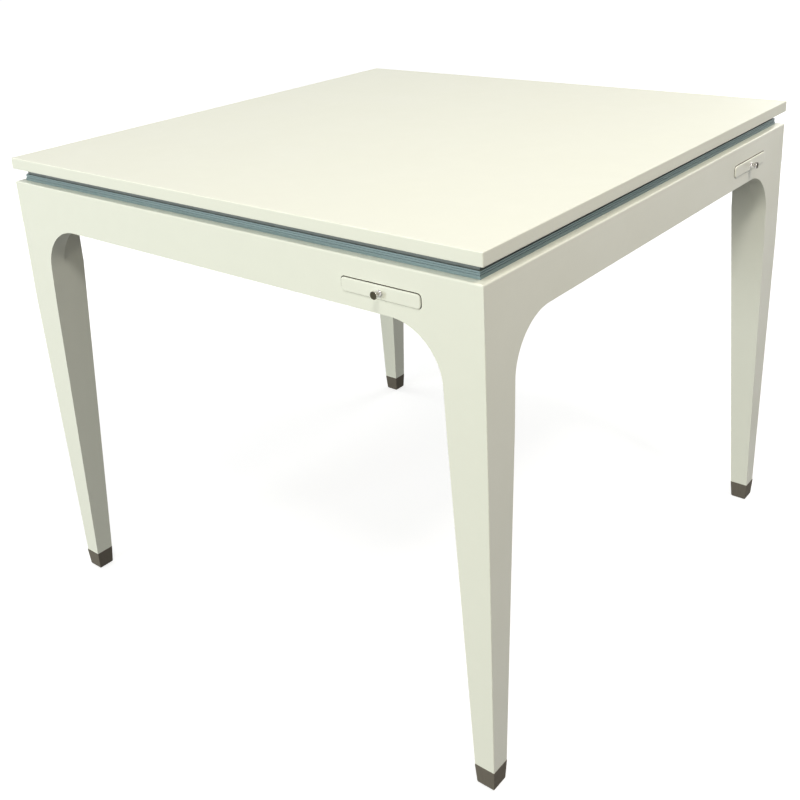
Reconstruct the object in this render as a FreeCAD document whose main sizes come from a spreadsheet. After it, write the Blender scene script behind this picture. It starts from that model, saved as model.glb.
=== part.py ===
import FreeCAD, Part
import Sketcher
import math
import os

# Square mahjong table that doubles as a dining table.
#
# A flat cover lifts off a rimmed playing frame.  The frame is four mitred rails round a cloth-covered board,
# with a small chip drawer at the right-hand end of every side, and stands on four bolt-on legs.
#
# Millimetres, +Z up.  The origin is on the floor under the middle of the table, and the front faces -Y.
# Everything repeats every quarter turn, so each side and each corner is drawn once, at the front and at the
# front right corner, and turned into place.

V = FreeCAD.Vector
ROOT_2 = math.sqrt(2)
UP = V(0, 0, 1)
SIDES = ("front", "right", "back", "left")
CORNERS = ("front_right", "back_right", "back_left", "front_left")
RIM_FLUTES = 3
WASHER_SIDES = 4
NUT_SIDES = 6

SIZES = (
    ("table_height", 760, "floor to the face of the cover"),
    ("cover_width", 900, "side of the square cover"),
    ("cover_thickness", 18, "cover board"),
    ("cover_arris", 1.5, "bevel of the cover's edges"),
    ("apron_setback", 1, "rail face behind the cover's edge"),
    ("apron_height", 66, "height of a rail between the legs"),
    ("apron_thickness", 25, "thickness of a rail and of a leg's wing"),
    ("apron_arris", 1.5, "rounding of the rails' top edge"),
    ("corner_bevel", 1, "bevel of the table's outer corners"),
    ("reveal_height", 20, "gap that the rim shows between rail and cover"),
    ("reveal_setback", 12, "rim face behind the rail face"),
    ("rim_thickness", 14, "rim strip, front to back"),
    ("rim_flute_depth", 0.9, "depth of a flute in the rim strip"),
    ("rim_flute_height", 1.4, "height of a flute in the rim strip"),
    ("board_thickness", 12, "playing board"),
    ("board_seat", 12, "width of the rebate that carries the playing board"),
    ("fit_gap", 0.3, "clearance round a piece that drops into place"),
    ("cloth_thickness", 1.5, "playing cloth"),
    ("bearer_width", 40, "bearer under the playing board"),
    ("bearer_depth", 20, "height of a bearer"),
    ("cleat_length", 160, "locating cleat under the cover"),
    ("cleat_width", 16, "cleat, front to back"),
    ("cleat_height", 13, "cleat, top to bottom"),
    ("cleat_gap", 1, "play between a cleat and the rim"),
    ("cleat_lead_in", 2, "chamfer round a cleat's lower edge"),
    ("seam_drop", 2, "foot of a rail's end below the apron's lower edge"),
    ("shoulder_radius", 76, "arch between leg and apron"),
    ("leg_width", 60, "leg under its arch"),
    ("foot_width", 30, "leg at the foot cap"),
    ("foot_setback", 7.5, "leg's outer faces at the foot behind those of the apron"),
    ("outer_taper_height", 520, "height at which the outer faces start to taper"),
    ("tenon_height", 50, "leg's corner tenon above the seam"),
    ("cap_height", 27, "foot cap"),
    ("cap_taper", 2.5, "narrowing of the foot cap on each side"),
    ("cap_corner", 2, "bevel of the foot cap's upright edges"),
    ("cap_foot_bevel", 1.5, "bevel of the foot cap's edge on the floor"),
    ("bracket_thickness", 2, "corner bracket sheet"),
    ("bracket_height", 44, "corner bracket, top to bottom"),
    ("bracket_gap", 12, "draw left between tenon and bracket"),
    ("bracket_flange_gap", 1, "clearance between tenon and bracket flange"),
    ("bracket_rise", 4, "bracket's lower edge above the seam"),
    ("bolt_radius", 4, "hanger bolt"),
    ("bolt_grip", 20, "hanger bolt inside the tenon"),
    ("bolt_spare", 4, "hanger bolt beyond its nut"),
    ("bolt_low", 13, "lower hanger bolt above the seam"),
    ("bolt_pitch", 24, "distance between a leg's two bolts"),
    ("washer_radius", 11, "square washer across its corners, halved"),
    ("washer_thickness", 1.6, "square washer"),
    ("nut_radius", 7.5, "hexagon nut across its corners, halved"),
    ("nut_thickness", 6.5, "hexagon nut"),
    ("hole_gap", 0.1, "clearance of a hole round its screw or bolt"),
    ("drawer_from_arch", 11.5, "middle of a drawer beyond the centre of the arch at its right"),
    ("opening_width", 123, "drawer opening"),
    ("opening_height", 20, "drawer opening"),
    ("opening_radius", 6, "rounding of the opening's corners"),
    ("opening_rise", 18.5, "opening above the apron's lower edge"),
    ("face_side_gap", 1, "gap beside a drawer face"),
    ("face_lower_gap", 0.4, "gap under a drawer face"),
    ("face_upper_gap", 1.2, "gap over a drawer face"),
    ("face_thickness", 16, "drawer face"),
    ("face_proud", 2, "drawer face in front of the rail"),
    ("face_arris", 1.2, "bevel of the drawer face's front edges"),
    ("tray_side_gap", 2, "tray behind the opening's side"),
    ("tray_upper_gap", 2, "tray under the opening's upper edge"),
    ("tray_wall", 2, "tray wall and floor"),
    ("tray_length", 178, "tray, front to back"),
    ("tray_round", 4, "rounding of the tray's lower edges"),
    ("tray_travel", 150, "how far a drawer pulls out"),
    ("stop_play", 0.3, "play left between stop lug and rail at full travel"),
    ("lug_reach", 3.2, "stop lug beyond the tray's side"),
    ("housing_wall", 2, "drawer housing wall and floor"),
    ("housing_side_gap", 1.5, "housing's inner face beyond the opening's side"),
    ("housing_flange", 12, "housing's fixing flange"),
    ("housing_flange_thickness", 3, "housing's fixing flange"),
    ("housing_stop_gap", 0.3, "play behind a closed tray"),
    ("runner_height", 1, "runner rib on the housing's floor"),
    ("runner_width", 4, "runner rib on the housing's floor"),
    ("runner_offset", 42, "runner rib from the middle of the housing"),
    ("runner_gap", 0.3, "play between tray and runner rib"),
    ("knob_neck_radius", 2.4, "knob's neck"),
    ("knob_neck_end", 5.5, "end of the neck from the drawer face"),
    ("knob_head_radius", 5.2, "knob's head"),
    ("knob_head_start", 8, "knob's full width from the drawer face"),
    ("knob_length", 11, "knob, drawer face to tip"),
    ("knob_edge", 0.7, "bevel round the knob's end"),
)


class Size:
    """A number that keeps the sheet formula it was worked out with."""

    def __init__(self, value, formula):
        self.value = value
        self.formula = formula

    def __add__(self, other):
        other = as_size(other)
        return Size(self.value + other.value, f"({self.formula} + {other.formula})")

    def __sub__(self, other):
        other = as_size(other)
        return Size(self.value - other.value, f"({self.formula} - {other.formula})")

    def __mul__(self, other):
        other = as_size(other)
        return Size(self.value * other.value, f"({self.formula} * {other.formula})")

    def __truediv__(self, other):
        other = as_size(other)
        return Size(self.value / other.value, f"({self.formula} / {other.formula})")

    def __radd__(self, other):
        return as_size(other) + self

    def __rsub__(self, other):
        return as_size(other) - self

    def __rmul__(self, other):
        return as_size(other) * self

    def __neg__(self):
        return Size(-self.value, f"(0 - {self.formula})")

    def root(self):
        return Size(math.sqrt(self.value), f"sqrt({self.formula})")

    def slope(self):
        """The angle in degrees whose tangent this is."""
        return Size(math.degrees(math.atan(self.value)), f"atan({self.formula})")


def as_size(number):
    """Any plain number as a Size."""
    return number if isinstance(number, Size) else Size(float(number), f"{float(number):.9f}")


class SizeSheet:
    """The table's sizes: a spreadsheet with one named cell for each, read here as attributes."""

    def __init__(self, document, rows):
        self.sheet = document.addObject("Spreadsheet::Sheet", "Sizes")
        for row, (name, value, meaning) in enumerate(rows, start=1):
            self.sheet.set(f"A{row}", meaning)
            self.sheet.set(f"B{row}", str(value))
            self.sheet.setAlias(f"B{row}", name)
        document.recompute()
        for name, _, _ in rows:
            setattr(self, name, Size(float(self.sheet.get(name)), f"Sizes.{name}"))


doc = FreeCAD.newDocument("mahjong_table")
S = SizeSheet(doc, SIZES)
sub_parts = []

# Heights above the floor, and reaches from the middle of the table.
half_cover = S.cover_width / 2
half = half_cover - S.apron_setback
cover_low = S.table_height - S.cover_thickness
rail_top = cover_low - S.reveal_height
rail_low = rail_top - S.apron_height
seam = rail_low - S.seam_drop
board_low = rail_top - S.board_thickness
rail_inner = half - S.apron_thickness
rim_outer = half - S.reveal_setback
rim_inner = rim_outer - S.rim_thickness
opening_low = rail_low + S.opening_rise
opening_top = opening_low + S.opening_height
arch_centre_height = rail_low - S.shoulder_radius
arch_centre_reach = S.leg_width + S.shoulder_radius
drawer_x = half - arch_centre_reach - S.drawer_from_arch
seam_reach = arch_centre_reach - (
    S.shoulder_radius * S.shoulder_radius
    - (S.shoulder_radius - S.seam_drop) * (S.shoulder_radius - S.seam_drop)
).root()

# Distances from the apron's outer corner, along a rail or along the diagonal.
tenon_face = (S.leg_width + S.apron_thickness) / ROOT_2
bracket_face = tenon_face + S.bracket_gap
bracket_back = bracket_face + S.bracket_thickness
bracket_tip = S.leg_width + S.bracket_flange_gap
bracket_low = seam + S.bracket_rise
bolt_heights = (seam + S.bolt_low, seam + S.bolt_low + S.bolt_pitch)
corner_diagonal = half * ROOT_2

# Drawer, in the plan and section of its own side.
face_reach = half + S.face_proud
face_low = opening_low + S.face_lower_gap
face_top = opening_top - S.face_upper_gap
face_half = S.opening_width / 2 - S.face_side_gap
knob_height = (face_low + face_top) / 2
tray_front = face_reach - S.face_thickness
tray_back = tray_front - S.tray_length
tray_half = S.opening_width / 2 - S.tray_side_gap
tray_top = opening_top - S.tray_upper_gap
tray_low = opening_low + S.runner_height + S.runner_gap
lug_front = rail_inner - S.tray_travel - S.stop_play
housing_inner = S.opening_width / 2 + S.housing_side_gap
housing_outer = housing_inner + S.housing_wall
housing_back = tray_back - S.housing_stop_gap


# ---------------------------------------------------------------- drawing helpers

def bind(thing, prop, size):
    """Gives a property the value of a size and ties it to the sheet."""
    size = as_size(size)
    setattr(thing, prop, size.value)
    thing.setExpression(prop, size.formula)


def new_body(label, angle=0.0, base=None):
    """A body with its name, turned by an angle about the upright, and moved to base (x, y sizes)."""
    body = doc.addObject("PartDesign::Body", label)
    body.Label = label
    x, y = base or (as_size(0), as_size(0))
    body.Placement = FreeCAD.Placement(V(x.value, y.value, 0), FreeCAD.Rotation(UP, angle))
    if base:
        body.setExpression("Placement.Base.x", x.formula)
        body.setExpression("Placement.Base.y", y.formula)
    sub_parts.append(body)
    return body


def origin_of(body, role):
    """One of the body's own origin planes or axes."""
    return next(item for item in body.Origin.OriginFeatures if item.Role == role)


def new_sketch(body, role, lift=0, raise_by=0, turn=0.0):
    """A sketch on an origin plane: lifted off it, raised along its upright, turned (degrees) about that."""
    sketch = body.newObject("Sketcher::SketchObject", f"{body.Name}_sketch")
    sketch.AttachmentSupport = [(origin_of(body, role), "")]
    sketch.MapMode = "FlatFace"
    lift = as_size(lift)
    base = (lift * math.sin(math.radians(turn)), as_size(raise_by), lift * math.cos(math.radians(turn)))
    sketch.AttachmentOffset = FreeCAD.Placement(
        V(*[size.value for size in base]), FreeCAD.Rotation(V(0, 1, 0), turn)
    )
    for axis, size in zip("xyz", base):
        sketch.setExpression(f"AttachmentOffset.Base.{axis}", size.formula)
    return sketch


def pin(sketch, edge, end, x=None, y=None):
    """Ties one end of an edge (1 start, 2 end, 3 centre) to its distances from the sketch's origin."""
    for kind, size in (("DistanceX", x), ("DistanceY", y)):
        if size is None:
            continue
        size = as_size(size)
        number = sketch.addConstraint(Sketcher.Constraint(kind, -1, 1, edge, end, size.value))
        sketch.setExpression(f"Constraints[{number}]", size.formula)


class Arc:
    """An arc that ends an outline's step: its centre, its end, which way it turns and what holds its end."""

    def __init__(self, centre, end, anticlockwise, hold):
        self.centre = centre
        self.end = end
        self.anticlockwise = anticlockwise
        self.hold = hold


def outline(sketch, *steps):
    """A closed outline of corners (x, y) and arcs; each arc starts at the corner before it."""
    first_edge = sketch.GeometryCount
    ends = [step.end if isinstance(step, Arc) else step for step in steps]
    flat = [tuple(as_size(number).value for number in end) for end in ends]
    start_end = []
    for number, step in enumerate(steps):
        start = flat[number - 1]
        end = flat[number]
        if isinstance(step, Arc):
            centre = tuple(as_size(size).value for size in step.centre)
            radius = math.dist(centre, start)
            angles = [math.atan2(point[1] - centre[1], point[0] - centre[0]) for point in (start, end)]
            if not step.anticlockwise:
                angles.reverse()
            circle = Part.Circle(V(*centre, 0), UP, radius)
            sketch.addGeometry(Part.ArcOfCircle(circle, *angles), False)
            start_end.append((1, 2) if step.anticlockwise else (2, 1))
        else:
            sketch.addGeometry(Part.LineSegment(V(*start, 0), V(*end, 0)), False)
            start_end.append((1, 2))
    count = len(steps)
    for number, step in enumerate(steps):
        edge = first_edge + number
        following = (number + 1) % count
        sketch.addConstraint(Sketcher.Constraint(
            "Coincident", edge, start_end[number][1], first_edge + following, start_end[following][0]
        ))
        x, y = ends[number]
        if isinstance(step, Arc):
            pin(sketch, edge, 3, *step.centre)
            pin(sketch, edge, start_end[number][1], x if step.hold == "x" else None,
                y if step.hold == "y" else None)
        else:
            pin(sketch, edge, start_end[number][1], x, y)
    return sketch


def rectangle(sketch, x_low, x_high, y_low, y_high):
    """A rectangle between four sizes."""
    return outline(sketch, (x_low, y_low), (x_high, y_low), (x_high, y_high), (x_low, y_high))


def circle(sketch, x, y, radius):
    """A circle with its centre and radius tied to sizes."""
    radius = as_size(radius)
    centre = V(as_size(x).value, as_size(y).value, 0)
    edge = sketch.addGeometry(Part.Circle(centre, UP, radius.value), False)
    pin(sketch, edge, 3, x, y)
    number = sketch.addConstraint(Sketcher.Constraint("Radius", edge, radius.value))
    sketch.setExpression(f"Constraints[{number}]", radius.formula)
    return sketch


def pad(body, sketch, length, backwards=False, both_ways=False):
    """Material from a sketch."""
    feature = body.newObject("PartDesign::Pad", f"{body.Name}_pad")
    feature.Profile = sketch
    bind(feature, "Length", length)
    feature.Reversed = backwards
    feature.Midplane = both_ways
    body.Tip = feature
    return feature


def pocket(body, sketch, length, backwards=False, both_ways=False):
    """A cut from a sketch, which goes against the plane's normal unless it is backwards."""
    feature = body.newObject("PartDesign::Pocket", f"{body.Name}_pocket")
    feature.Profile = sketch
    bind(feature, "Length", length)
    feature.Reversed = backwards
    feature.Midplane = both_ways
    body.Tip = feature
    return feature


def revolve(body, sketch):
    """A full turn of a profile about the sketch's level axis."""
    feature = body.newObject("PartDesign::Revolution", f"{body.Name}_turned")
    feature.Profile = sketch
    feature.ReferenceAxis = (sketch, ["H_Axis"])
    feature.Angle = 360
    body.Tip = feature
    return feature


def quarter_turns(body, *features):
    """The features repeated at the table's four sides or corners."""
    pattern = body.newObject("PartDesign::PolarPattern", f"{body.Name}_turns")
    pattern.Originals = list(features)
    pattern.Axis = (origin_of(body, "Z_Axis"), [""])
    pattern.Angle = 360
    pattern.Occurrences = len(SIDES)
    body.Tip = pattern
    return pattern


def round_edges(body, radius, chosen, kind="Fillet"):
    """A rounding, or a chamfer, on the edges whose ends all pass the test."""
    doc.recompute()
    base = body.Tip
    names = [
        f"Edge{number}" for number, edge in enumerate(base.Shape.Edges, start=1)
        if len(edge.Vertexes) == 2 and chosen(*[vertex.Point for vertex in edge.Vertexes])
    ]
    feature = body.newObject(f"PartDesign::{kind}", f"{body.Name}_{kind.lower()}")
    feature.Base = (base, names)
    bind(feature, "Radius" if kind == "Fillet" else "Size", radius)
    body.Tip = feature
    return feature


def lean_inwards(body, hinge, angle):
    """Leans every upright face by an angle (degrees) about the level plane of a sketch."""
    doc.recompute()
    base = body.Tip
    upright = [
        f"Face{number}" for number, face in enumerate(base.Shape.Faces, start=1)
        if near(face.normalAt(0, 0).z, 0)
    ]
    feature = body.newObject("PartDesign::Draft", f"{body.Name}_draft")
    feature.Base = (base, upright)
    feature.NeutralPlane = (hinge, [""])
    feature.Reversed = True
    bind(feature, "Angle", angle)
    body.Tip = feature
    return feature


def near(number, size, slack=0.01):
    """True where a coordinate lies at a size."""
    return abs(number - as_size(size).value) < slack


def corner_body(label, turn):
    """A body that stands in a corner, drawn from the apron's outer corner with the table at +X +Y."""
    x_sign, y_sign = ((1, -1), (1, 1), (-1, 1), (-1, -1))[turn]
    return new_body(f"{CORNERS[turn]}_{label}", 90 + 90 * turn, (half * x_sign, half * y_sign))


def holes(body, sketch, places, radius, length, backwards=False):
    """Round holes at (x, y) places of a sketch."""
    for x, y in places:
        circle(sketch, x, y, radius)
    return pocket(body, sketch, length, backwards)


# ---------------------------------------------------------------- cover

def build_cover():
    """The lift-off board, plain and square, with a small bevel all round."""
    body = new_body("cover_top")
    pad(body, rectangle(new_sketch(body, "XY_Plane", cover_low),
                        -half_cover, half_cover, -half_cover, half_cover), S.cover_thickness)
    round_edges(body, S.cover_arris, lambda a, b: True, "Chamfer")


def build_cleat(turn):
    """A strip under the cover that drops inside the rim and keeps the cover from sliding."""
    body = new_body(f"{SIDES[turn]}_cover_cleat", 90 * turn)
    outer = rim_inner - S.cleat_gap
    low = cover_low - S.cleat_height
    pad(body, rectangle(new_sketch(body, "XY_Plane", low), -S.cleat_length / 2, S.cleat_length / 2,
                        -outer, -outer + S.cleat_width), S.cleat_height)
    round_edges(body, S.cleat_lead_in, lambda a, b: near(a.z, low) and near(b.z, low), "Chamfer")


# ---------------------------------------------------------------- playing frame

def mitre(body, reach, thickness):
    """Cuts both ends of a side piece along the table's diagonals."""
    sketch = new_sketch(body, "XY_Plane")
    for side in (-1, 1):
        outline(
            sketch,
            (side * reach, -reach),
            (side * (reach + thickness), -reach),
            (side * (reach + thickness), -reach + 2 * thickness),
            (side * (reach - 2 * thickness), -reach + 2 * thickness),
        )
    pocket(body, sketch, 2 * S.table_height, both_ways=True)


def bevel_corners(body, reach, size):
    """Takes the sharp edge off the table's two corners that a mitred side piece shares."""
    sketch = new_sketch(body, "XY_Plane")
    for side in (-1, 1):
        outline(
            sketch,
            (side * (reach - size), -reach),
            (side * (reach - size), -reach - size),
            (side * (reach + size), -reach - size),
            (side * (reach + size), -reach + size),
            (side * reach, -reach + size),
        )
    pocket(body, sketch, 2 * S.table_height, both_ways=True)


def build_rail(turn):
    """An apron rail: its ends drop to the leg seam in the first stretch of the arch."""
    body = new_body(f"{SIDES[turn]}_rail", 90 * turn)
    arch_x = half - arch_centre_reach
    seam_x = half - seam_reach
    sketch = new_sketch(body, "XZ_Plane", half)
    outline(
        sketch,
        (-half, rail_top),
        (-half, seam),
        (-seam_x, seam),
        Arc((-arch_x, arch_centre_height), (-arch_x, rail_low), False, "x"),
        (arch_x, rail_low),
        Arc((arch_x, arch_centre_height), (seam_x, seam), False, "y"),
        (half, seam),
        (half, rail_top),
    )
    pad(body, sketch, S.apron_thickness, backwards=True)
    round_edges(body, S.apron_arris, lambda a, b: near(a.z, rail_top) and near(b.z, rail_top)
                and near(a.y, -half) and near(b.y, -half))
    mitre(body, half, S.apron_thickness)
    bevel_corners(body, half, S.corner_bevel)
    rebate = new_sketch(body, "XY_Plane", rail_top)
    rectangle(rebate, -half, half, -rail_inner - S.board_seat, -rail_inner + S.board_seat)
    pocket(body, rebate, S.board_thickness)
    left = drawer_x - S.opening_width / 2
    right = drawer_x + S.opening_width / 2
    drawer_hole = new_sketch(body, "XZ_Plane", half)
    rectangle(drawer_hole, left, right, opening_low, opening_top)
    pocket(body, drawer_hole, S.apron_thickness)
    round_edges(body, S.opening_radius, lambda a, b: near(a.x, b.x) and near(a.z, b.z)
                and (near(a.x, left) or near(a.x, right))
                and (near(a.z, opening_low) or near(a.z, opening_top)))


def build_rim(turn):
    """A fluted strip that stands on the rail and the board's edge, and carries the cover."""
    body = new_body(f"{SIDES[turn]}_rim", 90 * turn)
    steps = [(-rim_outer, cover_low), (-rim_inner, cover_low), (-rim_inner, rail_top), (-rim_outer, rail_top)]
    deep = -rim_outer + S.rim_flute_depth
    for number in range(1, RIM_FLUTES + 1):
        middle = rail_top + S.reveal_height * number / (RIM_FLUTES + 1)
        bottom = middle - S.rim_flute_height / 2
        top = middle + S.rim_flute_height / 2
        steps += [(-rim_outer, bottom), (deep, bottom), (deep, top), (-rim_outer, top)]
    pad(body, outline(new_sketch(body, "YZ_Plane"), *steps), 2 * rim_outer, both_ways=True)
    mitre(body, rim_outer, S.rim_thickness)


def build_board():
    """The playing board, dropped into the rails' rebate."""
    body = new_body("playing_board")
    reach = rail_inner + S.board_seat - S.fit_gap
    pad(body, rectangle(new_sketch(body, "XY_Plane", board_low), -reach, reach, -reach, reach),
        S.board_thickness)


def build_cloth():
    """The cloth, laid on the board inside the rim."""
    body = new_body("playing_cloth")
    reach = rim_inner - S.fit_gap
    pad(body, rectangle(new_sketch(body, "XY_Plane", rail_top), -reach, reach, -reach, reach),
        S.cloth_thickness)


def build_bearer(label, angle, notch_above):
    """One of two crossed bearers under the board, halved into each other."""
    body = new_body(label, angle)
    pad(body, rectangle(new_sketch(body, "XY_Plane", board_low), -S.bearer_width / 2, S.bearer_width / 2,
                        -rail_inner, rail_inner), S.bearer_depth, backwards=True)
    lap = new_sketch(body, "XY_Plane", board_low - S.bearer_depth / 2)
    rectangle(lap, -S.bearer_width, S.bearer_width, -S.bearer_width / 2, S.bearer_width / 2)
    pocket(body, lap, S.bearer_depth, backwards=notch_above)


# ---------------------------------------------------------------- legs

def build_leg(turn):
    """A tapered leg with arched wings and a three-cornered tenon for the corner bracket."""
    body = corner_body("leg", turn)
    post = new_sketch(body, "XY_Plane", S.cap_height)
    rectangle(post, 0, S.leg_width, 0, S.leg_width)
    pad(body, post, seam - S.cap_height)
    inner_foot = S.foot_setback + S.foot_width
    for role in ("XZ_Plane", "YZ_Plane"):
        tapers = new_sketch(body, role)
        outline(
            tapers,
            (S.leg_width, arch_centre_height),
            (inner_foot, S.cap_height),
            (2 * S.leg_width, S.cap_height),
            (2 * S.leg_width, arch_centre_height),
        )
        outline(
            tapers,
            (0, S.outer_taper_height),
            (S.foot_setback, S.cap_height),
            (-S.foot_width, S.cap_height),
            (-S.foot_width, S.outer_taper_height),
        )
        pocket(body, tapers, 4 * S.leg_width, both_ways=True)
    for role, inwards in (("XZ_Plane", True), ("YZ_Plane", False)):
        wing = new_sketch(body, role)
        outline(
            wing,
            (seam_reach, seam),
            Arc((arch_centre_reach, arch_centre_height), (S.leg_width, arch_centre_height), True, "y"),
            (0, arch_centre_height),
            (0, seam),
        )
        pad(body, wing, S.apron_thickness, backwards=inwards)
    edge_low = S.foot_setback * ROOT_2
    edge_cut = S.corner_bevel / ROOT_2
    outer_edge = new_sketch(body, "XZ_Plane", turn=45)
    outline(
        outer_edge,
        (edge_cut, seam),
        (edge_cut, S.outer_taper_height),
        (edge_low + edge_cut, S.cap_height),
        (-edge_low, S.cap_height),
        (-edge_low, seam),
    )
    pocket(body, outer_edge, 2 * S.leg_width, both_ways=True)
    tenon = new_sketch(body, "XY_Plane", seam)
    outline(tenon, (S.apron_thickness, S.apron_thickness), (S.leg_width, S.apron_thickness),
            (S.apron_thickness, S.leg_width))
    pad(body, tenon, S.tenon_height)
    bolt_places = [(0, height) for height in bolt_heights]
    holes(body, new_sketch(body, "XZ_Plane", -tenon_face, turn=-45), bolt_places, S.bolt_radius + S.hole_gap,
          S.bolt_grip + S.hole_gap, backwards=True)


def build_foot_cap(turn):
    """A cap that narrows to the floor, with small bevels up its corners and where it meets the floor."""
    body = corner_body("foot_cap", turn)
    top = new_sketch(body, "XY_Plane", S.cap_height)
    reach = S.foot_setback + S.foot_width
    rectangle(top, S.foot_setback, reach, S.foot_setback, reach)
    pad(body, top, S.cap_height, backwards=True)
    lean_inwards(body, top, (S.cap_taper / S.cap_height).slope())
    round_edges(body, S.cap_corner, lambda a, b: not near(a.z, b.z), "Chamfer")
    round_edges(body, S.cap_foot_bevel, lambda a, b: near(a.z, 0) and near(b.z, 0), "Chamfer")


# ---------------------------------------------------------------- corner fixing

def build_bracket(turn):
    """A bent plate across a corner, with a flange on each rail."""
    body = corner_body("bracket", turn)
    wall = S.apron_thickness
    skin = wall + S.bracket_thickness
    near_sum = bracket_face * ROOT_2
    far_sum = bracket_back * ROOT_2
    plan = new_sketch(body, "XY_Plane", bracket_low)
    outline(
        plan,
        (bracket_tip, wall),
        (far_sum - wall, wall),
        (wall, far_sum - wall),
        (wall, bracket_tip),
        (skin, bracket_tip),
        (skin, near_sum - skin),
        (near_sum - skin, skin),
        (bracket_tip, skin),
    )
    pad(body, plan, S.bracket_height)
    bolt_places = [(0, height) for height in bolt_heights]
    holes(body, new_sketch(body, "XZ_Plane", -bracket_back, turn=-45), bolt_places, S.bolt_radius + S.fit_gap,
          S.bracket_thickness, backwards=True)


def regular_outline(sketch, height, radius, sides):
    """An outline of equal sides round a point on the sketch's upright axis, with a level lower side."""
    corners = []
    for number in range(sides):
        angle = math.pi * (2 * number + 1) / sides - math.pi / 2
        corners.append((radius * math.cos(angle), height + radius * math.sin(angle)))
    return outline(sketch, *corners)


def build_bolt_pieces(label, low, high, radius, hole=None, sides=None):
    """Bolts, washers or nuts on the corners' diagonals, low and high from the apron's outer corner."""
    body = new_body(label)
    sketch = new_sketch(body, "XZ_Plane", corner_diagonal - high, turn=45)
    for height in bolt_heights:
        if sides:
            regular_outline(sketch, height, radius, sides)
        else:
            circle(sketch, 0, height, radius)
        if hole:
            circle(sketch, 0, height, hole)
    quarter_turns(body, pad(body, sketch, high - low))


def build_bolts():
    """Hanger bolts in the tenons, each with its square washer and nut behind the bracket."""
    washer_end = bracket_back + S.washer_thickness
    nut_end = washer_end + S.nut_thickness
    build_bolt_pieces("leg_bolts", tenon_face - S.bolt_grip, nut_end + S.bolt_spare, S.bolt_radius)
    hole = S.bolt_radius + S.hole_gap
    build_bolt_pieces("leg_washers", bracket_back, washer_end, S.washer_radius, hole, WASHER_SIDES)
    build_bolt_pieces("leg_nuts", washer_end, nut_end, S.nut_radius, hole, NUT_SIDES)


# ---------------------------------------------------------------- drawers

def build_housing(turn):
    """A drawer's housing: floor with two runner ribs, walls, and flanges under the board."""
    body = new_body(f"{SIDES[turn]}_drawer_housing", 90 * turn)
    floor_low = opening_low - S.housing_wall
    flange_low = board_low - S.housing_flange_thickness
    rib_inner = S.runner_offset - S.runner_width / 2
    rib_outer = S.runner_offset + S.runner_width / 2
    rib_top = opening_low + S.runner_height
    flange_end = housing_outer + S.housing_flange
    right_half = [
        (housing_outer, floor_low),
        (housing_outer, flange_low),
        (flange_end, flange_low),
        (flange_end, board_low),
        (housing_inner, board_low),
        (housing_inner, opening_low),
        (rib_outer, opening_low),
        (rib_outer, rib_top),
        (rib_inner, rib_top),
        (rib_inner, opening_low),
    ]
    left_half = [(-x, z) for x, z in reversed(right_half)]
    section = [(drawer_x + x, z) for x, z in right_half + left_half]
    pad(body, outline(new_sketch(body, "XZ_Plane", rail_inner), *section),
        rail_inner - housing_back + S.housing_wall, backwards=True)
    pad(body, rectangle(new_sketch(body, "XZ_Plane", housing_back), drawer_x - housing_inner,
                        drawer_x + housing_inner, opening_low, board_low), S.housing_wall, backwards=True)


def build_face(turn):
    """A drawer front, a little proud of the rail and rounded like its opening."""
    body = new_body(f"{SIDES[turn]}_drawer_face", 90 * turn)
    pad(body, rectangle(new_sketch(body, "XZ_Plane", face_reach), drawer_x - face_half,
                        drawer_x + face_half, face_low, face_top), S.face_thickness, backwards=True)
    round_edges(body, S.opening_radius - S.face_side_gap, lambda a, b: near(a.x, b.x) and near(a.z, b.z))
    round_edges(body, S.face_arris, lambda a, b: near(a.y, -face_reach) and near(b.y, -face_reach), "Chamfer")


def build_tray(turn):
    """A drawer's box, rounded below, with two lugs that stop it behind the rail."""
    body = new_body(f"{SIDES[turn]}_drawer_tray", 90 * turn)
    round_height = tray_low + S.tray_round
    round_x = tray_half - S.tray_round
    section = new_sketch(body, "XZ_Plane", tray_front)
    outline(
        section,
        (drawer_x + tray_half, tray_top),
        (drawer_x - tray_half, tray_top),
        (drawer_x - tray_half, round_height),
        Arc((drawer_x - round_x, round_height), (drawer_x - round_x, tray_low), True, "x"),
        (drawer_x + round_x, tray_low),
        Arc((drawer_x + round_x, round_height), (drawer_x + tray_half, round_height), True, "y"),
    )
    pad(body, section, S.tray_length, backwards=True)
    cavity_half = tray_half - S.tray_wall
    cavity = new_sketch(body, "XY_Plane", tray_top)
    rectangle(cavity, drawer_x - cavity_half, drawer_x + cavity_half,
              -tray_front + S.tray_wall, -tray_back - S.tray_wall)
    pocket(body, cavity, tray_top - tray_low - S.tray_wall)
    cavity_low = tray_low + S.tray_wall
    round_edges(body, S.tray_round - S.tray_wall,
                lambda a, b: near(a.z, cavity_low) and near(b.z, cavity_low) and near(a.x, b.x))
    lugs = new_sketch(body, "XY_Plane", tray_top)
    for side in (-1, 1):
        rectangle(lugs, drawer_x + side * tray_half, drawer_x + side * (tray_half + S.lug_reach),
                  -lug_front, -tray_back)
    pad(body, lugs, tray_top - round_height, backwards=True)


def build_knob(turn):
    """A turned knob: a slim neck and a flaring head with a flat end."""
    body = new_body(f"{SIDES[turn]}_drawer_knob", 90 * turn)
    section = new_sketch(body, "YZ_Plane", drawer_x, raise_by=knob_height)
    outline(
        section,
        (-face_reach, 0),
        (-face_reach - S.knob_length, 0),
        (-face_reach - S.knob_length, S.knob_head_radius - S.knob_edge),
        (-face_reach - S.knob_length + S.knob_edge, S.knob_head_radius),
        (-face_reach - S.knob_head_start, S.knob_head_radius),
        (-face_reach - S.knob_neck_end, S.knob_neck_radius),
        (-face_reach, S.knob_neck_radius),
    )
    revolve(body, section)


# ---------------------------------------------------------------- the whole table

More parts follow.
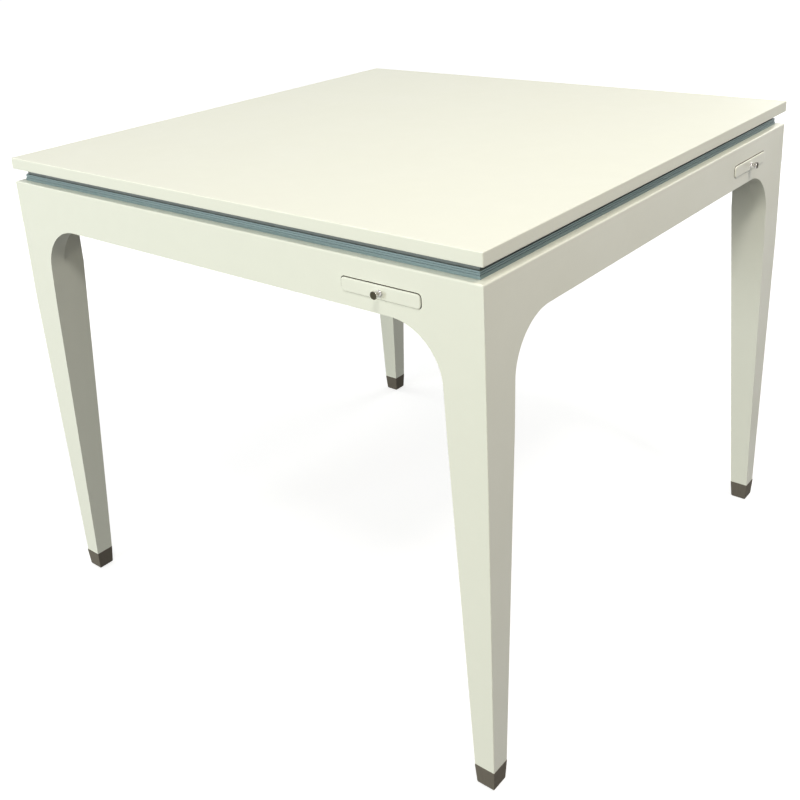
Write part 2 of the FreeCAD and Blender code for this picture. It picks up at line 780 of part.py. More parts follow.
build_cover()
build_board()
build_cloth()
build_bearer("front_back_bearer", 0, notch_above=True)
build_bearer("side_bearer", 90, notch_above=False)
build_bolts()
for quarter in range(len(SIDES)):
    build_cleat(quarter)
    build_rail(quarter)
    build_rim(quarter)
    build_leg(quarter)
    build_foot_cap(quarter)
    build_bracket(quarter)
    build_housing(quarter)
    build_face(quarter)
    build_tray(quarter)
    build_knob(quarter)
doc.recompute()

for item in doc.Objects:
    if "Invalid" in item.State or "Error" in item.State:
        raise RuntimeError(f"{item.Label} did not build: {item.State}")

os.makedirs("parts", exist_ok=True)
for body in sub_parts:
    if body.Shape.isNull() or not body.Shape.isValid():
        raise RuntimeError(f"{body.Label} is not a sound solid")
    body.Shape.exportStep(f"parts/{body.Label}.step")
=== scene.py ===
"""Mahjong table with chip drawers: its finishes, its finely rounded pieces and the studio that shows it.

Metres, +Z up, origin on the floor under the middle of the table.  What shows on every side or corner is
shaped once, at the front or at the front right corner, and turned into place in quarter turns.  Plain hidden
pieces are the frame's own solids with eased edges.
"""

import logging
import math
from dataclasses import dataclass
from enum import Enum
from typing import Callable, Iterable, Mapping, Sequence

import bmesh
import bpy
from mathutils import Matrix, Vector


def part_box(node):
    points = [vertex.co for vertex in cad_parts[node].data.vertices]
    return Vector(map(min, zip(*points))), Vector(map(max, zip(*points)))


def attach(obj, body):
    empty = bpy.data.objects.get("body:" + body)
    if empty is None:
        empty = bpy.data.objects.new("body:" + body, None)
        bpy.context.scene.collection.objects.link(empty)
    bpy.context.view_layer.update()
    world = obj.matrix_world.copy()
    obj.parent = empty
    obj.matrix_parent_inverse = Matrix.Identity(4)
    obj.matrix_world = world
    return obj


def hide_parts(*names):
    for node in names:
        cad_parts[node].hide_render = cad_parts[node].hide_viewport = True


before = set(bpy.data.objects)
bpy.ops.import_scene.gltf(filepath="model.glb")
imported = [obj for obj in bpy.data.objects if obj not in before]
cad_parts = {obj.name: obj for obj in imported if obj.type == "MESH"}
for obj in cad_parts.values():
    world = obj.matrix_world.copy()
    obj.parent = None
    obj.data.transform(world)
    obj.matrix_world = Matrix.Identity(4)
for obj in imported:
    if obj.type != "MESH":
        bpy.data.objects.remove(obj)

log = logging.getLogger("mahjong_table")

MM = 0.001
# Corners nearer to each other than this are merged, and so are faces with a smaller angle between them.
LOOSE = 1e-6
FLAT = math.radians(0.2)
# Edges sharper than this are eased, or else shaded as sharp ones.
SHARP = math.radians(30)
# How strongly a face's size counts in the shading of its corners.
FACE_WEIGHT = 90
ROUND_STEPS = 6
# Turns of an upright piece: upside down, pointing into the table's front, and pointing out of it.
DOWN = Matrix.Rotation(math.pi, 4, "X")
INWARDS = Matrix.Rotation(-math.pi / 2, 4, "X")
OUTWARDS = Matrix.Rotation(math.pi / 2, 4, "X")
Point = tuple[float, float]
Colour = tuple[float, float, float]
Shape = bmesh.types.BMesh
Socket = bpy.types.NodeSocket


# ---------------------------------------------------------------- places and planes

class Quarter(Enum):
    """A place that the first piece of its kind reaches in quarter turns about the upright."""

    @property
    def word(self) -> str:
        """The place's name in the frame's node names."""
        return self.name.lower()

    @property
    def turn(self) -> Matrix:
        """The turn that takes the first piece to this place."""
        return Matrix.Rotation(math.radians(90 * self.value), 4, "Z")


class Side(Quarter):
    """The table's sides, as quarter turns from the front."""

    FRONT = 0
    RIGHT = 1
    BACK = 2
    LEFT = 3

    @property
    def runs_along_x(self) -> bool:
        """True where the side's pieces run from left to right."""
        return self.value % 2 == 0


class Corner(Quarter):
    """The table's corners, as quarter turns from the front right one."""

    FRONT_RIGHT = 0
    BACK_RIGHT = 1
    BACK_LEFT = 2
    FRONT_LEFT = 3


class Plane(Enum):
    """The plane that an outline is drawn on: seen from the front, from the right or from above."""

    FRONT = "front"
    SIDE = "side"
    PLAN = "plan"

    def place(self, across: float, up: float, depth: float) -> Vector:
        """Turns drawn coordinates into a point in space.

        Args:
            across: Distance to the right on the drawing.
            up: Distance up the drawing.
            depth: Position of the drawing along its own normal's axis.

        Returns:
            The point in the table's frame.
        """
        if self is Plane.FRONT:
            return Vector((across, depth, up))
        if self is Plane.SIDE:
            return Vector((depth, across, up))
        return Vector((across, up, depth))

    @property
    def depth_axis(self) -> Vector:
        """The axis along which a drawing on this plane is extruded."""
        return self.place(0, 0, 1)

    @property
    def axis(self) -> Vector:
        """The axis about which a turn looks anticlockwise on the drawing."""
        return -self.depth_axis if self is Plane.FRONT else self.depth_axis


class Join(Enum):
    """How one solid shape acts on another."""

    CUT = "DIFFERENCE"
    MEET = "INTERSECT"
    WELD = "UNION"


# ---------------------------------------------------------------- shaping

class Outline:
    """A closed outline of straight runs and arcs that becomes a solid."""

    def __init__(self, plane: Plane, depth: float, across: float, up: float) -> None:
        """Starts the outline at one corner.

        Args:
            plane: The plane that it is drawn on.
            depth: Where that plane lies along its own axis.
            across: First corner, to the right.
            up: First corner, upwards.
        """
        self.plane = plane
        self.depth = depth
        self.shape = bmesh.new()
        self.last = self.shape.verts.new(plane.place(across, up, depth))
        self.first = self.last

    def line(self, *corners: Point) -> "Outline":
        """Straight runs to one corner after another.

        Args:
            corners: Where each run ends.

        Returns:
            The outline itself, so that calls can follow each other.
        """
        for across, up in corners:
            made = bmesh.ops.extrude_vert_indiv(self.shape, verts=[self.last])
            self.last = made["verts"][0]
            self.last.co = self.plane.place(across, up, self.depth)
        return self

    def arc(self, centre: Point, degrees: float, steps: int) -> "Outline":
        """An arc from the last corner.

        Args:
            centre: The arc's centre on the drawing.
            degrees: How far it turns, anticlockwise where positive.
            steps: Number of short runs in it.

        Returns:
            The outline itself.
        """
        made = bmesh.ops.spin(
            self.shape,
            geom=[self.last],
            cent=self.plane.place(*centre, self.depth),
            axis=self.plane.axis,
            angle=math.radians(degrees),
            steps=steps,
            use_merge=False,
        )
        self.last = next(item for item in made["geom_last"] if isinstance(item, bmesh.types.BMVert))
        return self

    def solid(self, thickness: float) -> Shape:
        """Closes the outline and gives it thickness.

        Args:
            thickness: Distance along the plane's depth axis; negative goes the other way.

        Returns:
            The closed solid.
        """
        shape = self.shape
        if (self.first.co - self.last.co).length > LOOSE:
            shape.edges.new((self.last, self.first))
        bmesh.ops.remove_doubles(shape, verts=shape.verts, dist=LOOSE)
        bmesh.ops.contextual_create(shape, geom=shape.edges[:])
        made = bmesh.ops.extrude_face_region(shape, geom=shape.faces[:])
        moved = [item for item in made["geom"] if isinstance(item, bmesh.types.BMVert)]
        bmesh.ops.translate(shape, verts=moved, vec=self.plane.depth_axis * thickness)
        bmesh.ops.recalc_face_normals(shape, faces=shape.faces)
        return shape


def block(low: Sequence[float], high: Sequence[float]) -> Shape:
    """A plain block between two corners.

    Args:
        low: Lowest corner.
        high: Highest corner.

    Returns:
        The block as a solid.
    """
    shape = bmesh.new()
    bmesh.ops.create_cube(shape, size=1)
    size = Vector(high) - Vector(low)
    bmesh.ops.scale(shape, verts=shape.verts, vec=size)
    bmesh.ops.translate(shape, verts=shape.verts, vec=Vector(low) + size / 2)
    return shape


def lathe(profile: Sequence[Point], segments: int, place: Matrix) -> Shape:
    """A turned solid about its own Z.

    Args:
        profile: Corners as (height, radius), from end to end, closed on the axis or on itself.
        segments: Number of steps round the turn.
        place: Where it goes.

    Returns:
        The turned solid.
    """
    shape = bmesh.new()
    last = shape.verts.new((profile[0][1], 0, profile[0][0]))
    first = last
    for height, radius in profile[1:]:
        last = bmesh.ops.extrude_vert_indiv(shape, verts=[last])["verts"][0]
        last.co = (radius, 0, height)
    if profile[-1][1] > LOOSE:
        shape.edges.new((last, first))
    bmesh.ops.spin(shape, geom=shape.verts[:] + shape.edges[:], cent=(0, 0, 0), axis=(0, 0, 1),
                   angle=math.tau, steps=segments, use_merge=True)
    bmesh.ops.remove_doubles(shape, verts=shape.verts, dist=LOOSE)
    bmesh.ops.recalc_face_normals(shape, faces=shape.faces)
    bmesh.ops.transform(shape, matrix=place, verts=shape.verts)
    return shape


def object_of(shape: Shape, name: str) -> bpy.types.Object:
    """An object with its own mesh from a shape, which is used up.

    Args:
        shape: The shape.
        name: Name of the object and of its mesh.

    Returns:
        The linked object.
    """
    mesh = bpy.data.meshes.new(name)
    shape.to_mesh(mesh)
    shape.free()
    made = bpy.data.objects.new(name, mesh)
    bpy.context.scene.collection.objects.link(made)
    return made


def cleaned(shape: Shape) -> Shape:
    """Merges a shape's doubled corners and makes its flat faces whole.

    Args:
        shape: The shape, which is changed.

    Returns:
        The same shape.
    """
    bmesh.ops.remove_doubles(shape, verts=shape.verts, dist=LOOSE)
    bmesh.ops.dissolve_limit(shape, angle_limit=FLAT, verts=shape.verts, edges=shape.edges)
    return shape


def combined(base: Shape, tool: Shape, how: Join) -> Shape:
    """One solid cut by, limited to or welded with another; both are used up.

    Args:
        base: The solid that is worked on.
        tool: The solid that works on it.
        how: The kind of work.

    Returns:
        The finished solid.
    """
    worked = object_of(base, "worked")
    worker = object_of(tool, "worker")
    modifier = worked.modifiers.new("work", "BOOLEAN")
    modifier.operation = how.value
    modifier.solver = "EXACT"
    modifier.object = worker
    shape = bmesh.new()
    shape.from_object(worked, bpy.context.evaluated_depsgraph_get())
    for used in (worked, worker):
        mesh = used.data
        bpy.data.objects.remove(used)
        bpy.data.meshes.remove(mesh)
    return cleaned(shape)


def copied(shape: Shape, place: Matrix) -> Shape:
    """A copy of a shape, put in a place.

    Args:
        shape: The shape, which is kept.
        place: The move and turn of the copy.

    Returns:
        The copy.
    """
    twin = shape.copy()
    bmesh.ops.transform(twin, matrix=place, verts=twin.verts)
    return twin


def gathered(shapes: Iterable[Shape]) -> Shape:
    """Several shapes side by side as one; they are used up.

    Args:
        shapes: The shapes.

    Returns:
        One shape that holds them all.
    """
    whole = bmesh.new()
    for shape in shapes:
        mesh = bpy.data.meshes.new("part")
        shape.to_mesh(mesh)
        shape.free()
        whole.from_mesh(mesh)
        bpy.data.meshes.remove(mesh)
    return whole


def bevelled(shape: Shape, radius: float, steps: int, chosen: Callable[[Vector, Vector], bool]) -> Shape:
    """Rounds the edges whose two ends pass a test.

    Args:
        shape: The shape, which is changed.
        radius: Width of the rounding.
        steps: Number of faces across it.
        chosen: The test on an edge's two ends.

    Returns:
        The same shape.
    """
    edges = [edge for edge in shape.edges if chosen(edge.verts[0].co, edge.verts[1].co)]
    bmesh.ops.bevel(shape, geom=edges, offset=radius, offset_type="OFFSET", segments=steps, profile=0.5,
                    affect="EDGES", clamp_overlap=True, material=-1)
    return shape


def marked(shape: Shape, chosen: Callable[[bmesh.types.BMFace], bool]) -> Shape:
    """Gives the faces that pass a test the piece's second finish.

    Args:
        shape: The shape, which is changed.
        chosen: The test on a face.

    Returns:
        The same shape.
    """
    for face in shape.faces:
        if chosen(face):
            face.material_index = 1
    return shape


def same(one: float, other: float) -> bool:
    """True where two sizes are equal to a hundredth of a millimetre."""
    return abs(one - other) < 0.01 * MM


def lying_at(**levels: float) -> Callable[[Vector, Vector], bool]:
    """The test for an edge with both ends at given levels.

    Args:
        levels: The level for each of x, y and z that is tested.

    Returns:
        The test on an edge's two ends.
    """
    return lambda one, other: all(
        same(getattr(end, axis), level) for end in (one, other) for axis, level in levels.items())


# ---------------------------------------------------------------- finishes

class Tree:
    """A material's or world's node tree, built from nothing."""

    def __init__(self, owner: bpy.types.Material | bpy.types.World) -> None:
        """Clears the tree.

        Args:
            owner: The material or world that the tree belongs to.
        """
        owner.use_nodes = True
        self.tree = owner.node_tree
        self.tree.nodes.clear()

    def add(self, kind: str, inputs: Mapping[str | int, object] | None = None,
            **settings: object) -> bpy.types.Node:
        """A node with its inputs set or fed.

        Args:
            kind: The kind of node.
            inputs: A value, or the socket that feeds it, for each input by its name or number.
            settings: The node's other settings.

        Returns:
            The node.
        """
        node = self.tree.nodes.new(kind)
        for name, value in settings.items():
            setattr(node, name, value)
        for name, value in (inputs or {}).items():
            if isinstance(value, Socket):
                self.tree.links.new(value, node.inputs[name])
            else:
                node.inputs[name].default_value = value
        return node

    def spread(self, value: Socket, low: float, high: float, start: float = 0.3, stop: float = 0.7,
               smooth: bool = False) -> Socket:
        """A value from start to stop, laid out from low to high.

        Args:
            value: The value.
            low: What the start becomes.
            high: What the stop becomes.
            start: Lowest value that comes in.
            stop: Highest value that comes in.
            smooth: True where it eases in and out.

        Returns:
            The value's new socket.
        """
        inputs = {"From Min": start, "From Max": stop, "To Min": low, "To Max": high, "Value": value}
        kind = "SMOOTHSTEP" if smooth else "LINEAR"
        return self.add("ShaderNodeMapRange", inputs, interpolation_type=kind).outputs["Result"]

    def seen(self) -> Socket:
        """A value that is 1 for what the camera, a mirror or a glass shows, else 0.

        Returns:
            The value's socket.
        """
        path = self.add("ShaderNodeLightPath")
        total = path.outputs["Is Camera Ray"]
        for name in ("Is Glossy Ray", "Is Transmission Ray"):
            joined = self.add("ShaderNodeMath", {0: total, 1: path.outputs[name]}, operation="MAXIMUM")
            total = joined.outputs[0]
        return total


class Nodes(Tree):
    """A finish's node tree on Object coordinates, with short calls for what the finishes share."""

    def __init__(self, name: str) -> None:
        """Starts a material with a Principled shader.

        Args:
            name: The finish's name.
        """
        self.material = bpy.data.materials.new(name)
        super().__init__(self.material)
        self.shader = self.add("ShaderNodeBsdfPrincipled")
        self.add("ShaderNodeOutputMaterial", {"Surface": self.shader.outputs["BSDF"]})
        self.place = self.add("ShaderNodeTexCoord").outputs["Object"]

    def feed(self, name: str, source: Socket) -> None:
        """Feeds one of the shader's inputs."""
        self.tree.links.new(source, self.shader.inputs[name])

    def set(self, **values: object) -> None:
        """Sets the shader's own sockets; an underscore in a name stands for a space."""
        for name, value in values.items():
            self.shader.inputs[name.replace("_", " ")].default_value = value

    def scaled(self, scale: Sequence[float]) -> Socket:
        """Object coordinates stretched by a scale along each axis."""
        return self.add("ShaderNodeMapping", {"Scale": scale, "Vector": self.place}).outputs["Vector"]

    def noise(self, scale: float, detail: float, place: Socket | None = None,
              roughness: float = 0.5) -> Socket:
        """Cloudy noise.

        Args:
            scale: Cells per metre.
            detail: Octaves of finer noise.
            place: Coordinates, or the plain Object ones.
            roughness: Share of the finer octaves.

        Returns:
            The noise from 0 to 1.
        """
        inputs = {"Scale": scale, "Detail": detail, "Roughness": roughness, "Vector": place or self.place}
        return self.add("ShaderNodeTexNoise", inputs).outputs["Fac"]

    def cells(self, scale: float) -> Socket:
        """Distance within Voronoi cells, with the scale in cells per metre."""
        inputs = {"Scale": scale, "Vector": self.place}
        return self.add("ShaderNodeTexVoronoi", inputs, feature="F1").outputs["Distance"]

    def ramp(self, value: Socket, stops: Sequence[tuple[float, Colour]]) -> Socket:
        """Colours laid over a value.

        Args:
            value: The value.
            stops: Each colour with its position from 0 to 1, in order.

        Returns:
            The colour.
        """
        node = self.add("ShaderNodeValToRGB", {"Fac": value})
        elements = node.color_ramp.elements
        elements[0].position, elements[-1].position = stops[0][0], stops[-1][0]
        elements[0].color, elements[-1].color = (*stops[0][1], 1), (*stops[-1][1], 1)
        for position, colour in stops[1:-1]:
            elements.new(position).color = (*colour, 1)
        return node.outputs["Color"]

    def colour(self, share: Socket, first: Socket, second: Socket) -> None:
        """Gives the shader two colours mixed by a share.

        Args:
            share: The second colour's share.
            first: The first colour.
            second: The second colour.
        """
        inputs = {"Factor": share, "A": first, "B": second}
        mix = self.add("ShaderNodeMix", inputs, data_type="RGBA", blend_type="MIX")
        self.feed("Base Color", mix.outputs["Result"])

    def relief(self, height: Socket, strength: float, depth: float, under: Socket | None = None) -> Socket:
        """Surface relief from a height, on top of another relief.

        Args:
            height: The height from 0 to 1.
            strength: How strongly it tilts the surface.
            depth: Depth of the relief in metres.
            under: The relief that it lies on.

        Returns:
            The tilted normal.
        """
        inputs = {"Strength": strength, "Distance": depth, "Height": height}
        if under:
            inputs["Normal"] = under
        return self.add("ShaderNodeBump", inputs).outputs["Normal"]


def tinted(colour: Colour, factor: float) -> Colour:
    """A colour made lighter or darker by a factor."""
    return tuple(min(1.0, channel * factor) for channel in colour)


@dataclass(frozen=True)
class Lacquer:
    """Sprayed satin lacquer: barely clouded, with a fine orange peel."""

    name: str
    colour: Colour
    gloss_low: float = 0.34
    gloss_high: float = 0.46
    peel: float = 0.05

    def material(self) -> bpy.types.Material:
        """Builds the lacquer's node tree.

        Returns:
            The material.
        """
        nodes = Nodes(self.name)
        broad = nodes.noise(2.2, 3)
        fine = nodes.noise(35, 4, roughness=0.6)
        cloud = nodes.ramp(broad, [(0.3, tinted(self.colour, 0.985)), (0.7, self.colour)])
        speck = nodes.ramp(fine, [(0.35, tinted(self.colour, 0.97)), (0.65, self.colour)])
        nodes.colour(nodes.spread(fine, 0.2, 0.5), cloud, speck)
        nodes.feed("Roughness", nodes.spread(nodes.noise(9, 3), self.gloss_low, self.gloss_high))
        swell = nodes.relief(nodes.noise(14, 2), self.peel, 0.4 * MM)
        nodes.feed("Normal", nodes.relief(nodes.noise(520, 2), self.peel, 0.15 * MM, swell))
        nodes.set(IOR=1.5)
        return nodes.material


@dataclass(frozen=True)
class DrawnMetal:
    """Metal with fine lines along one direction, as drawn, brushed or plated."""

    name: str
    colour: Colour
    stretch: tuple[float, float, float]
    gloss_low: float
    gloss_high: float
    contrast: float = 0.12
    lines: float = 0.25
    metallic: float = 1.0
    specular: float = 0.5

    def material(self) -> bpy.types.Material:
        """Builds the metal's node tree.

        Returns:
            The material.
        """
        nodes = Nodes(self.name)
        streaks = nodes.noise(1, 4, nodes.scaled(self.stretch), 0.65)
        tone = nodes.ramp(streaks, [(0.3, tinted(self.colour, 1 - self.contrast)),
                                    (0.7, tinted(self.colour, 1 + self.contrast))])
        haze = nodes.ramp(nodes.noise(25, 3), [(0.3, tinted(self.colour, 0.9)), (0.7, self.colour)])
        nodes.colour(nodes.spread(streaks, 0.15, 0.6), tone, haze)
        nodes.feed("Roughness", nodes.spread(streaks, self.gloss_low, self.gloss_high))
        nodes.feed("Normal", nodes.relief(streaks, self.lines, 0.02 * MM))
        nodes.set(Metallic=self.metallic, Specular_IOR_Level=self.specular)
        return nodes.material


@dataclass(frozen=True)
class ZincPlate:
    """Zinc-plated steel with faint crystal patches."""

    name: str
    colour: Colour

    def material(self) -> bpy.types.Material:
        """Builds the plating's node tree.

        Returns:
            The material.
        """
        nodes = Nodes(self.name)
        patches = nodes.cells(380)
        tone = nodes.ramp(patches, [(0.1, tinted(self.colour, 0.8)), (0.7, self.colour)])
        stain = nodes.ramp(nodes.noise(60, 3), [(0.35, tinted(self.colour, 0.75)), (0.6, self.colour)])
        nodes.colour(nodes.spread(patches, 0.2, 0.6), tone, stain)
        nodes.feed("Roughness", nodes.spread(patches, 0.28, 0.45, 0.0, 0.8))
        nodes.feed("Normal", nodes.relief(nodes.noise(900, 2), 0.1, 0.02 * MM))
        nodes.set(Metallic=1.0)
        return nodes.material


@dataclass(frozen=True)
class Timber:
    """Planed bare wood with its grain along one axis."""

    name: str
    pale: Colour
    dark: Colour
    stretch: tuple[float, float, float]

    def material(self) -> bpy.types.Material:
        """Builds the wood's node tree.

        Returns:
            The material.
        """
        nodes = Nodes(self.name)
        place = nodes.scaled(self.stretch)
        rings = nodes.noise(1, 3, place, 0.55)
        fibres = nodes.noise(9, 5, place, 0.7)
        broad = nodes.ramp(rings, [(0.35, self.dark), (0.5, self.pale), (0.66, tinted(self.dark, 1.15))])
        fine = nodes.ramp(fibres, [(0.35, tinted(self.dark, 0.9)), (0.6, self.pale)])
        nodes.colour(nodes.spread(fibres, 0.25, 0.6), broad, fine)
        nodes.feed("Roughness", nodes.spread(fibres, 0.55, 0.75))
        nodes.feed("Normal", nodes.relief(fibres, 0.2, 0.1 * MM))
        return nodes.material


@dataclass(frozen=True)
class Baize:
    """Woven playing cloth with a short nap."""

    name: str
    colour: Colour
    threads: float = 1400.0
    thread_stretch: float = 6.0

    def material(self) -> bpy.types.Material:
        """Builds the cloth's node tree.

        Returns:
            The material.
        """
        nodes = Nodes(self.name)
        nap = nodes.noise(260, 5, roughness=0.7)
        along = self.threads / self.thread_stretch
        warp = nodes.noise(1, 2, nodes.scaled((self.threads, along, 1)))
        weft = nodes.noise(1, 2, nodes.scaled((along, self.threads, 1)))
        weave = nodes.add("ShaderNodeMath", {0: warp, 1: weft}, operation="MAXIMUM").outputs[0]
        tone = nodes.ramp(nap, [(0.3, tinted(self.colour, 0.75)), (0.7, tinted(self.colour, 1.15))])
        worn = nodes.ramp(nodes.noise(3, 3), [(0.3, tinted(self.colour, 0.92)), (0.7, self.colour)])
        nodes.colour(nodes.spread(nap, 0.3, 0.7), worn, tone)
        nodes.feed("Roughness", nodes.spread(nap, 0.85, 0.98))
        nodes.feed("Normal", nodes.relief(weave, 0.35, 0.25 * MM))
        nodes.set(Sheen_Weight=0.35, Sheen_Roughness=0.5)
        return nodes.material


@dataclass(frozen=True)
class MouldedPlastic:
    """Moulded plastic with a fine leathery texture."""

    name: str
    colour: Colour
    grain: float = 1100.0

    def material(self) -> bpy.types.Material:
        """Builds the plastic's node tree.

        Returns:
            The material.
        """
        nodes = Nodes(self.name)
        grain = nodes.cells(self.grain)
        haze = nodes.noise(18, 3)
        tone = nodes.ramp(haze, [(0.3, tinted(self.colour, 0.9)), (0.7, tinted(self.colour, 1.08))])
        nodes.feed("Base Color", tone)
        nodes.feed("Roughness", nodes.spread(haze, 0.42, 0.55))
        nodes.feed("Normal", nodes.relief(grain, 0.3, 0.06 * MM))
        return nodes.material


class Palette:
    """All the table's materials, made once."""

    ivory: Colour = (0.86, 0.88, 0.77)

    def __init__(self) -> None:
        """Makes every finish."""
        self.top = Lacquer("ivory_top_lacquer", self.ivory, gloss_low=0.46, gloss_high=0.58).material()
        self.lacquer = Lacquer("ivory_lacquer", self.ivory).material()
        trim = {"colour": (0.215, 0.295, 0.308), "gloss_low": 0.34, "gloss_high": 0.5, "contrast": 0.2,
                "lines": 0.25, "metallic": 0.35}
        self.trim = {
            True: DrawnMetal("fluted_trim_lengthwise", stretch=(2, 400, 400), **trim).material(),
            False: DrawnMetal("fluted_trim_crosswise", stretch=(400, 2, 400), **trim).material(),
        }
        # The quirk's finish is painted shade: a dark colour that stands in for the cover's shadow on the top
        # of the strip.
        self.quirk = DrawnMetal(
            "quirk_painted_shade", (0.17, 0.195, 0.195), (60, 60, 60), gloss_low=0.45, gloss_high=0.6,
            contrast=0.2, lines=0.2, metallic=0.2, specular=0.3).material()
        self.pewter = DrawnMetal(
            "pewter_cap", (0.175, 0.158, 0.130), (700, 700, 12), gloss_low=0.6, gloss_high=0.75,
            contrast=0.15, lines=0.25, metallic=0.05, specular=0.05).material()
        self.chrome = DrawnMetal(
            "polished_pull", (0.62, 0.60, 0.60), (80, 80, 80), gloss_low=0.10, gloss_high=0.22,
            contrast=0.05, lines=0.02).material()
        # The pull's end is painted dark: a painted reflection of a dark surround, not a darker metal.
        self.pull_end = DrawnMetal(
            "pull_end_painted_reflection", (0.055, 0.050, 0.030), (260, 260, 260), gloss_low=0.5, gloss_high=0.65,
            contrast=0.35, lines=0.2, metallic=0.15, specular=0.2).material()
        self.zinc = ZincPlate("zinc_plate", (0.60, 0.61, 0.60)).material()
        self.ply = Timber("birch_ply", (0.66, 0.50, 0.33), (0.50, 0.35, 0.21), (6, 90, 90)).material()
        pale, dark = (0.68, 0.50, 0.31), (0.52, 0.34, 0.18)
        self.pine = {
            True: Timber("pine_lengthwise", pale, dark, (5, 120, 120)).material(),
            False: Timber("pine_crosswise", pale, dark, (120, 5, 120)).material(),
        }
        self.cloth = Baize("green_baize", (0.035, 0.13, 0.07)).material()
        # Dark bare fibreboard that is also painted shade: it darkens the openings' edges and the drawer
        # faces' sides so that the gaps round the drawers show as shadow lines.
        self.bare_edge_and_gap_shade = Timber(
            "fibreboard_and_painted_gap_shade", (0.13, 0.095, 0.065), (0.075, 0.052, 0.036), (60, 60, 60)).material()
        self.housing = MouldedPlastic("housing_plastic", (0.045, 0.045, 0.048)).material()
        self.tray = MouldedPlastic("tray_plastic", (0.03, 0.03, 0.032), grain=1500.0).material()


# ---------------------------------------------------------------- pieces

@dataclass(frozen=True)
class Piece:
    """What a finished piece is called, what it rides on and how its edges are eased."""

    name: str
    body: str
    material: bpy.types.Material
    slot: str
    nodes: tuple[str, ...] = ()
    easing: float = 0.4 * MM
    steps: int = 2
    inlay: bpy.types.Material | None = None

    def make(self, shape: Shape) -> bpy.types.Object:
        """Turns a shape into the finished piece.

        Args:
            shape: The solid, which is used up; its faces with a material index of 1 get the inlay's finish.

        Returns:
            The piece, riding on its body.
        """
        made = object_of(shape, self.name)
        made.data.materials.append(self.material)
        if self.inlay:
            made.data.materials.append(self.inlay)
        made.data.shade_smooth()
        if self.easing > 0:
            easing = made.modifiers.new("eased_edges", "BEVEL")
            easing.width = self.easing
            easing.segments = self.steps
            easing.limit_method = "ANGLE"
            easing.angle_limit = SHARP
            easing.miter_outer = "MITER_ARC"
        else:
            made.data.set_sharp_from_angle(angle=SHARP)
        flats = made.modifiers.new("flat_faces_stay_flat", "WEIGHTED_NORMAL")
        flats.weight = FACE_WEIGHT
        flats.keep_sharp = True
        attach(made, self.body)
        if self.nodes:
            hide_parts(*self.nodes)
        log.info("made %s on %s", self.name, self.body)
        return made


def dress(node: str, material: bpy.types.Material) -> None:
    """Gives a frame node, whose shape is right as it is, its finish.

    Args:
        node: The node's name.
        material: The finish.
    """
    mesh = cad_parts[node].data
    mesh.materials.clear()
    mesh.materials.append(material)
    log.info("dressed %s", node)


def solid_of(node: str) -> Shape:
    """A merged copy of a frame node's mesh, with its flat faces whole.

    Args:
        node: The node's name.

    Returns:
        The copy as a shape.
    """
    shape = bmesh.new()
    shape.from_mesh(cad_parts[node].data)
    return cleaned(shape)


@dataclass(frozen=True)
class TableSizes:
    """The sizes that several sub-assemblies share, read from the frame or named here."""

    apron_thickness: float = 25 * MM
    seam_drop: float = 2 * MM
    shoulder_radius: float = 76 * MM
    leg_width: float = 60 * MM

    @property
    def half(self) -> float:
        """Middle of the table to the apron's face."""
        return -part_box("front_rail")[0].y

    @property
    def rail_top(self) -> float:
        """Height of the apron's upper edge."""
        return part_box("front_rail")[1].z

    @property
    def seam(self) -> float:
        """Height of the seam between rail ends and legs."""
        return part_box("front_rail")[0].z

    @property
    def rail_low(self) -> float:
        """Height of the apron's lower edge between the legs."""
        return self.seam + self.seam_drop

    @property
    def rail_inner(self) -> float:
        """Middle of the table to the apron's inner face."""
        return self.half - self.apron_thickness

    @property
    def arch_height(self) -> float:
        """Height of the arch's centre."""
        return self.rail_low - self.shoulder_radius

    @property
    def arch_reach(self) -> float:
        """Arch's centre from the apron's outer corner, along a rail."""
        return self.leg_width + self.shoulder_radius

    @property
    def seam_degrees(self) -> float:
        """Turn of the arch between its top and the seam."""
        return math.degrees(math.acos((self.seam - self.arch_height) / self.shoulder_radius))


def mitred(shape: Shape, reach: float, thickness: float, height: float) -> Shape:
    """Cuts a front side piece's ends along the table's diagonals.

    Args:
        shape: The piece, which is used up.
        reach: Middle of the table to the piece's outer face.
        thickness: The piece's thickness.
        height: More than the piece's highest point.

    Returns:
        The mitred piece.
    """
    inner = reach - thickness
    between = Outline(Plane.PLAN, 0, -reach, -reach).line((reach, -reach), (inner, -inner), (-inner, -inner))
    return combined(shape, between.solid(height), Join.MEET)


@dataclass(frozen=True)
class Cover:
    """The lift-off cover with its locating cleats."""

    palette: Palette
    arris: float = 1.5 * MM
    arris_steps: int = 4
    cleat_screw_pitch: float = 110 * MM

    def build(self) -> None:
        """Makes the cover board, its cleats and their screws."""
        shape = block(*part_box("cover_top"))
        bevelled(shape, self.arris, self.arris_steps, lambda one, other: True)
        Piece("cover_board", "cover", self.palette.top, "ivory_lacquer_top", ("cover_top",),
              easing=0).make(shape)
        for side in Side:
            node = f"{side.word}_cover_cleat"
            Piece(f"cleat_{side.word}", "cover", self.palette.pine[side.runs_along_x], "pine", (node,),
                  easing=0.5 * MM).make(solid_of(node))
        low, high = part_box("front_cover_cleat")
        middle, reach = (low.y + high.y) / 2, self.cleat_screw_pitch / 2
        places = [
            side.turn @ Matrix.Translation((across, middle, low.z)) @ DOWN
            for side in Side
            for across in (-reach, reach)
        ]
        WoodScrews(self.palette).build("cleat_screws", "cover", places)


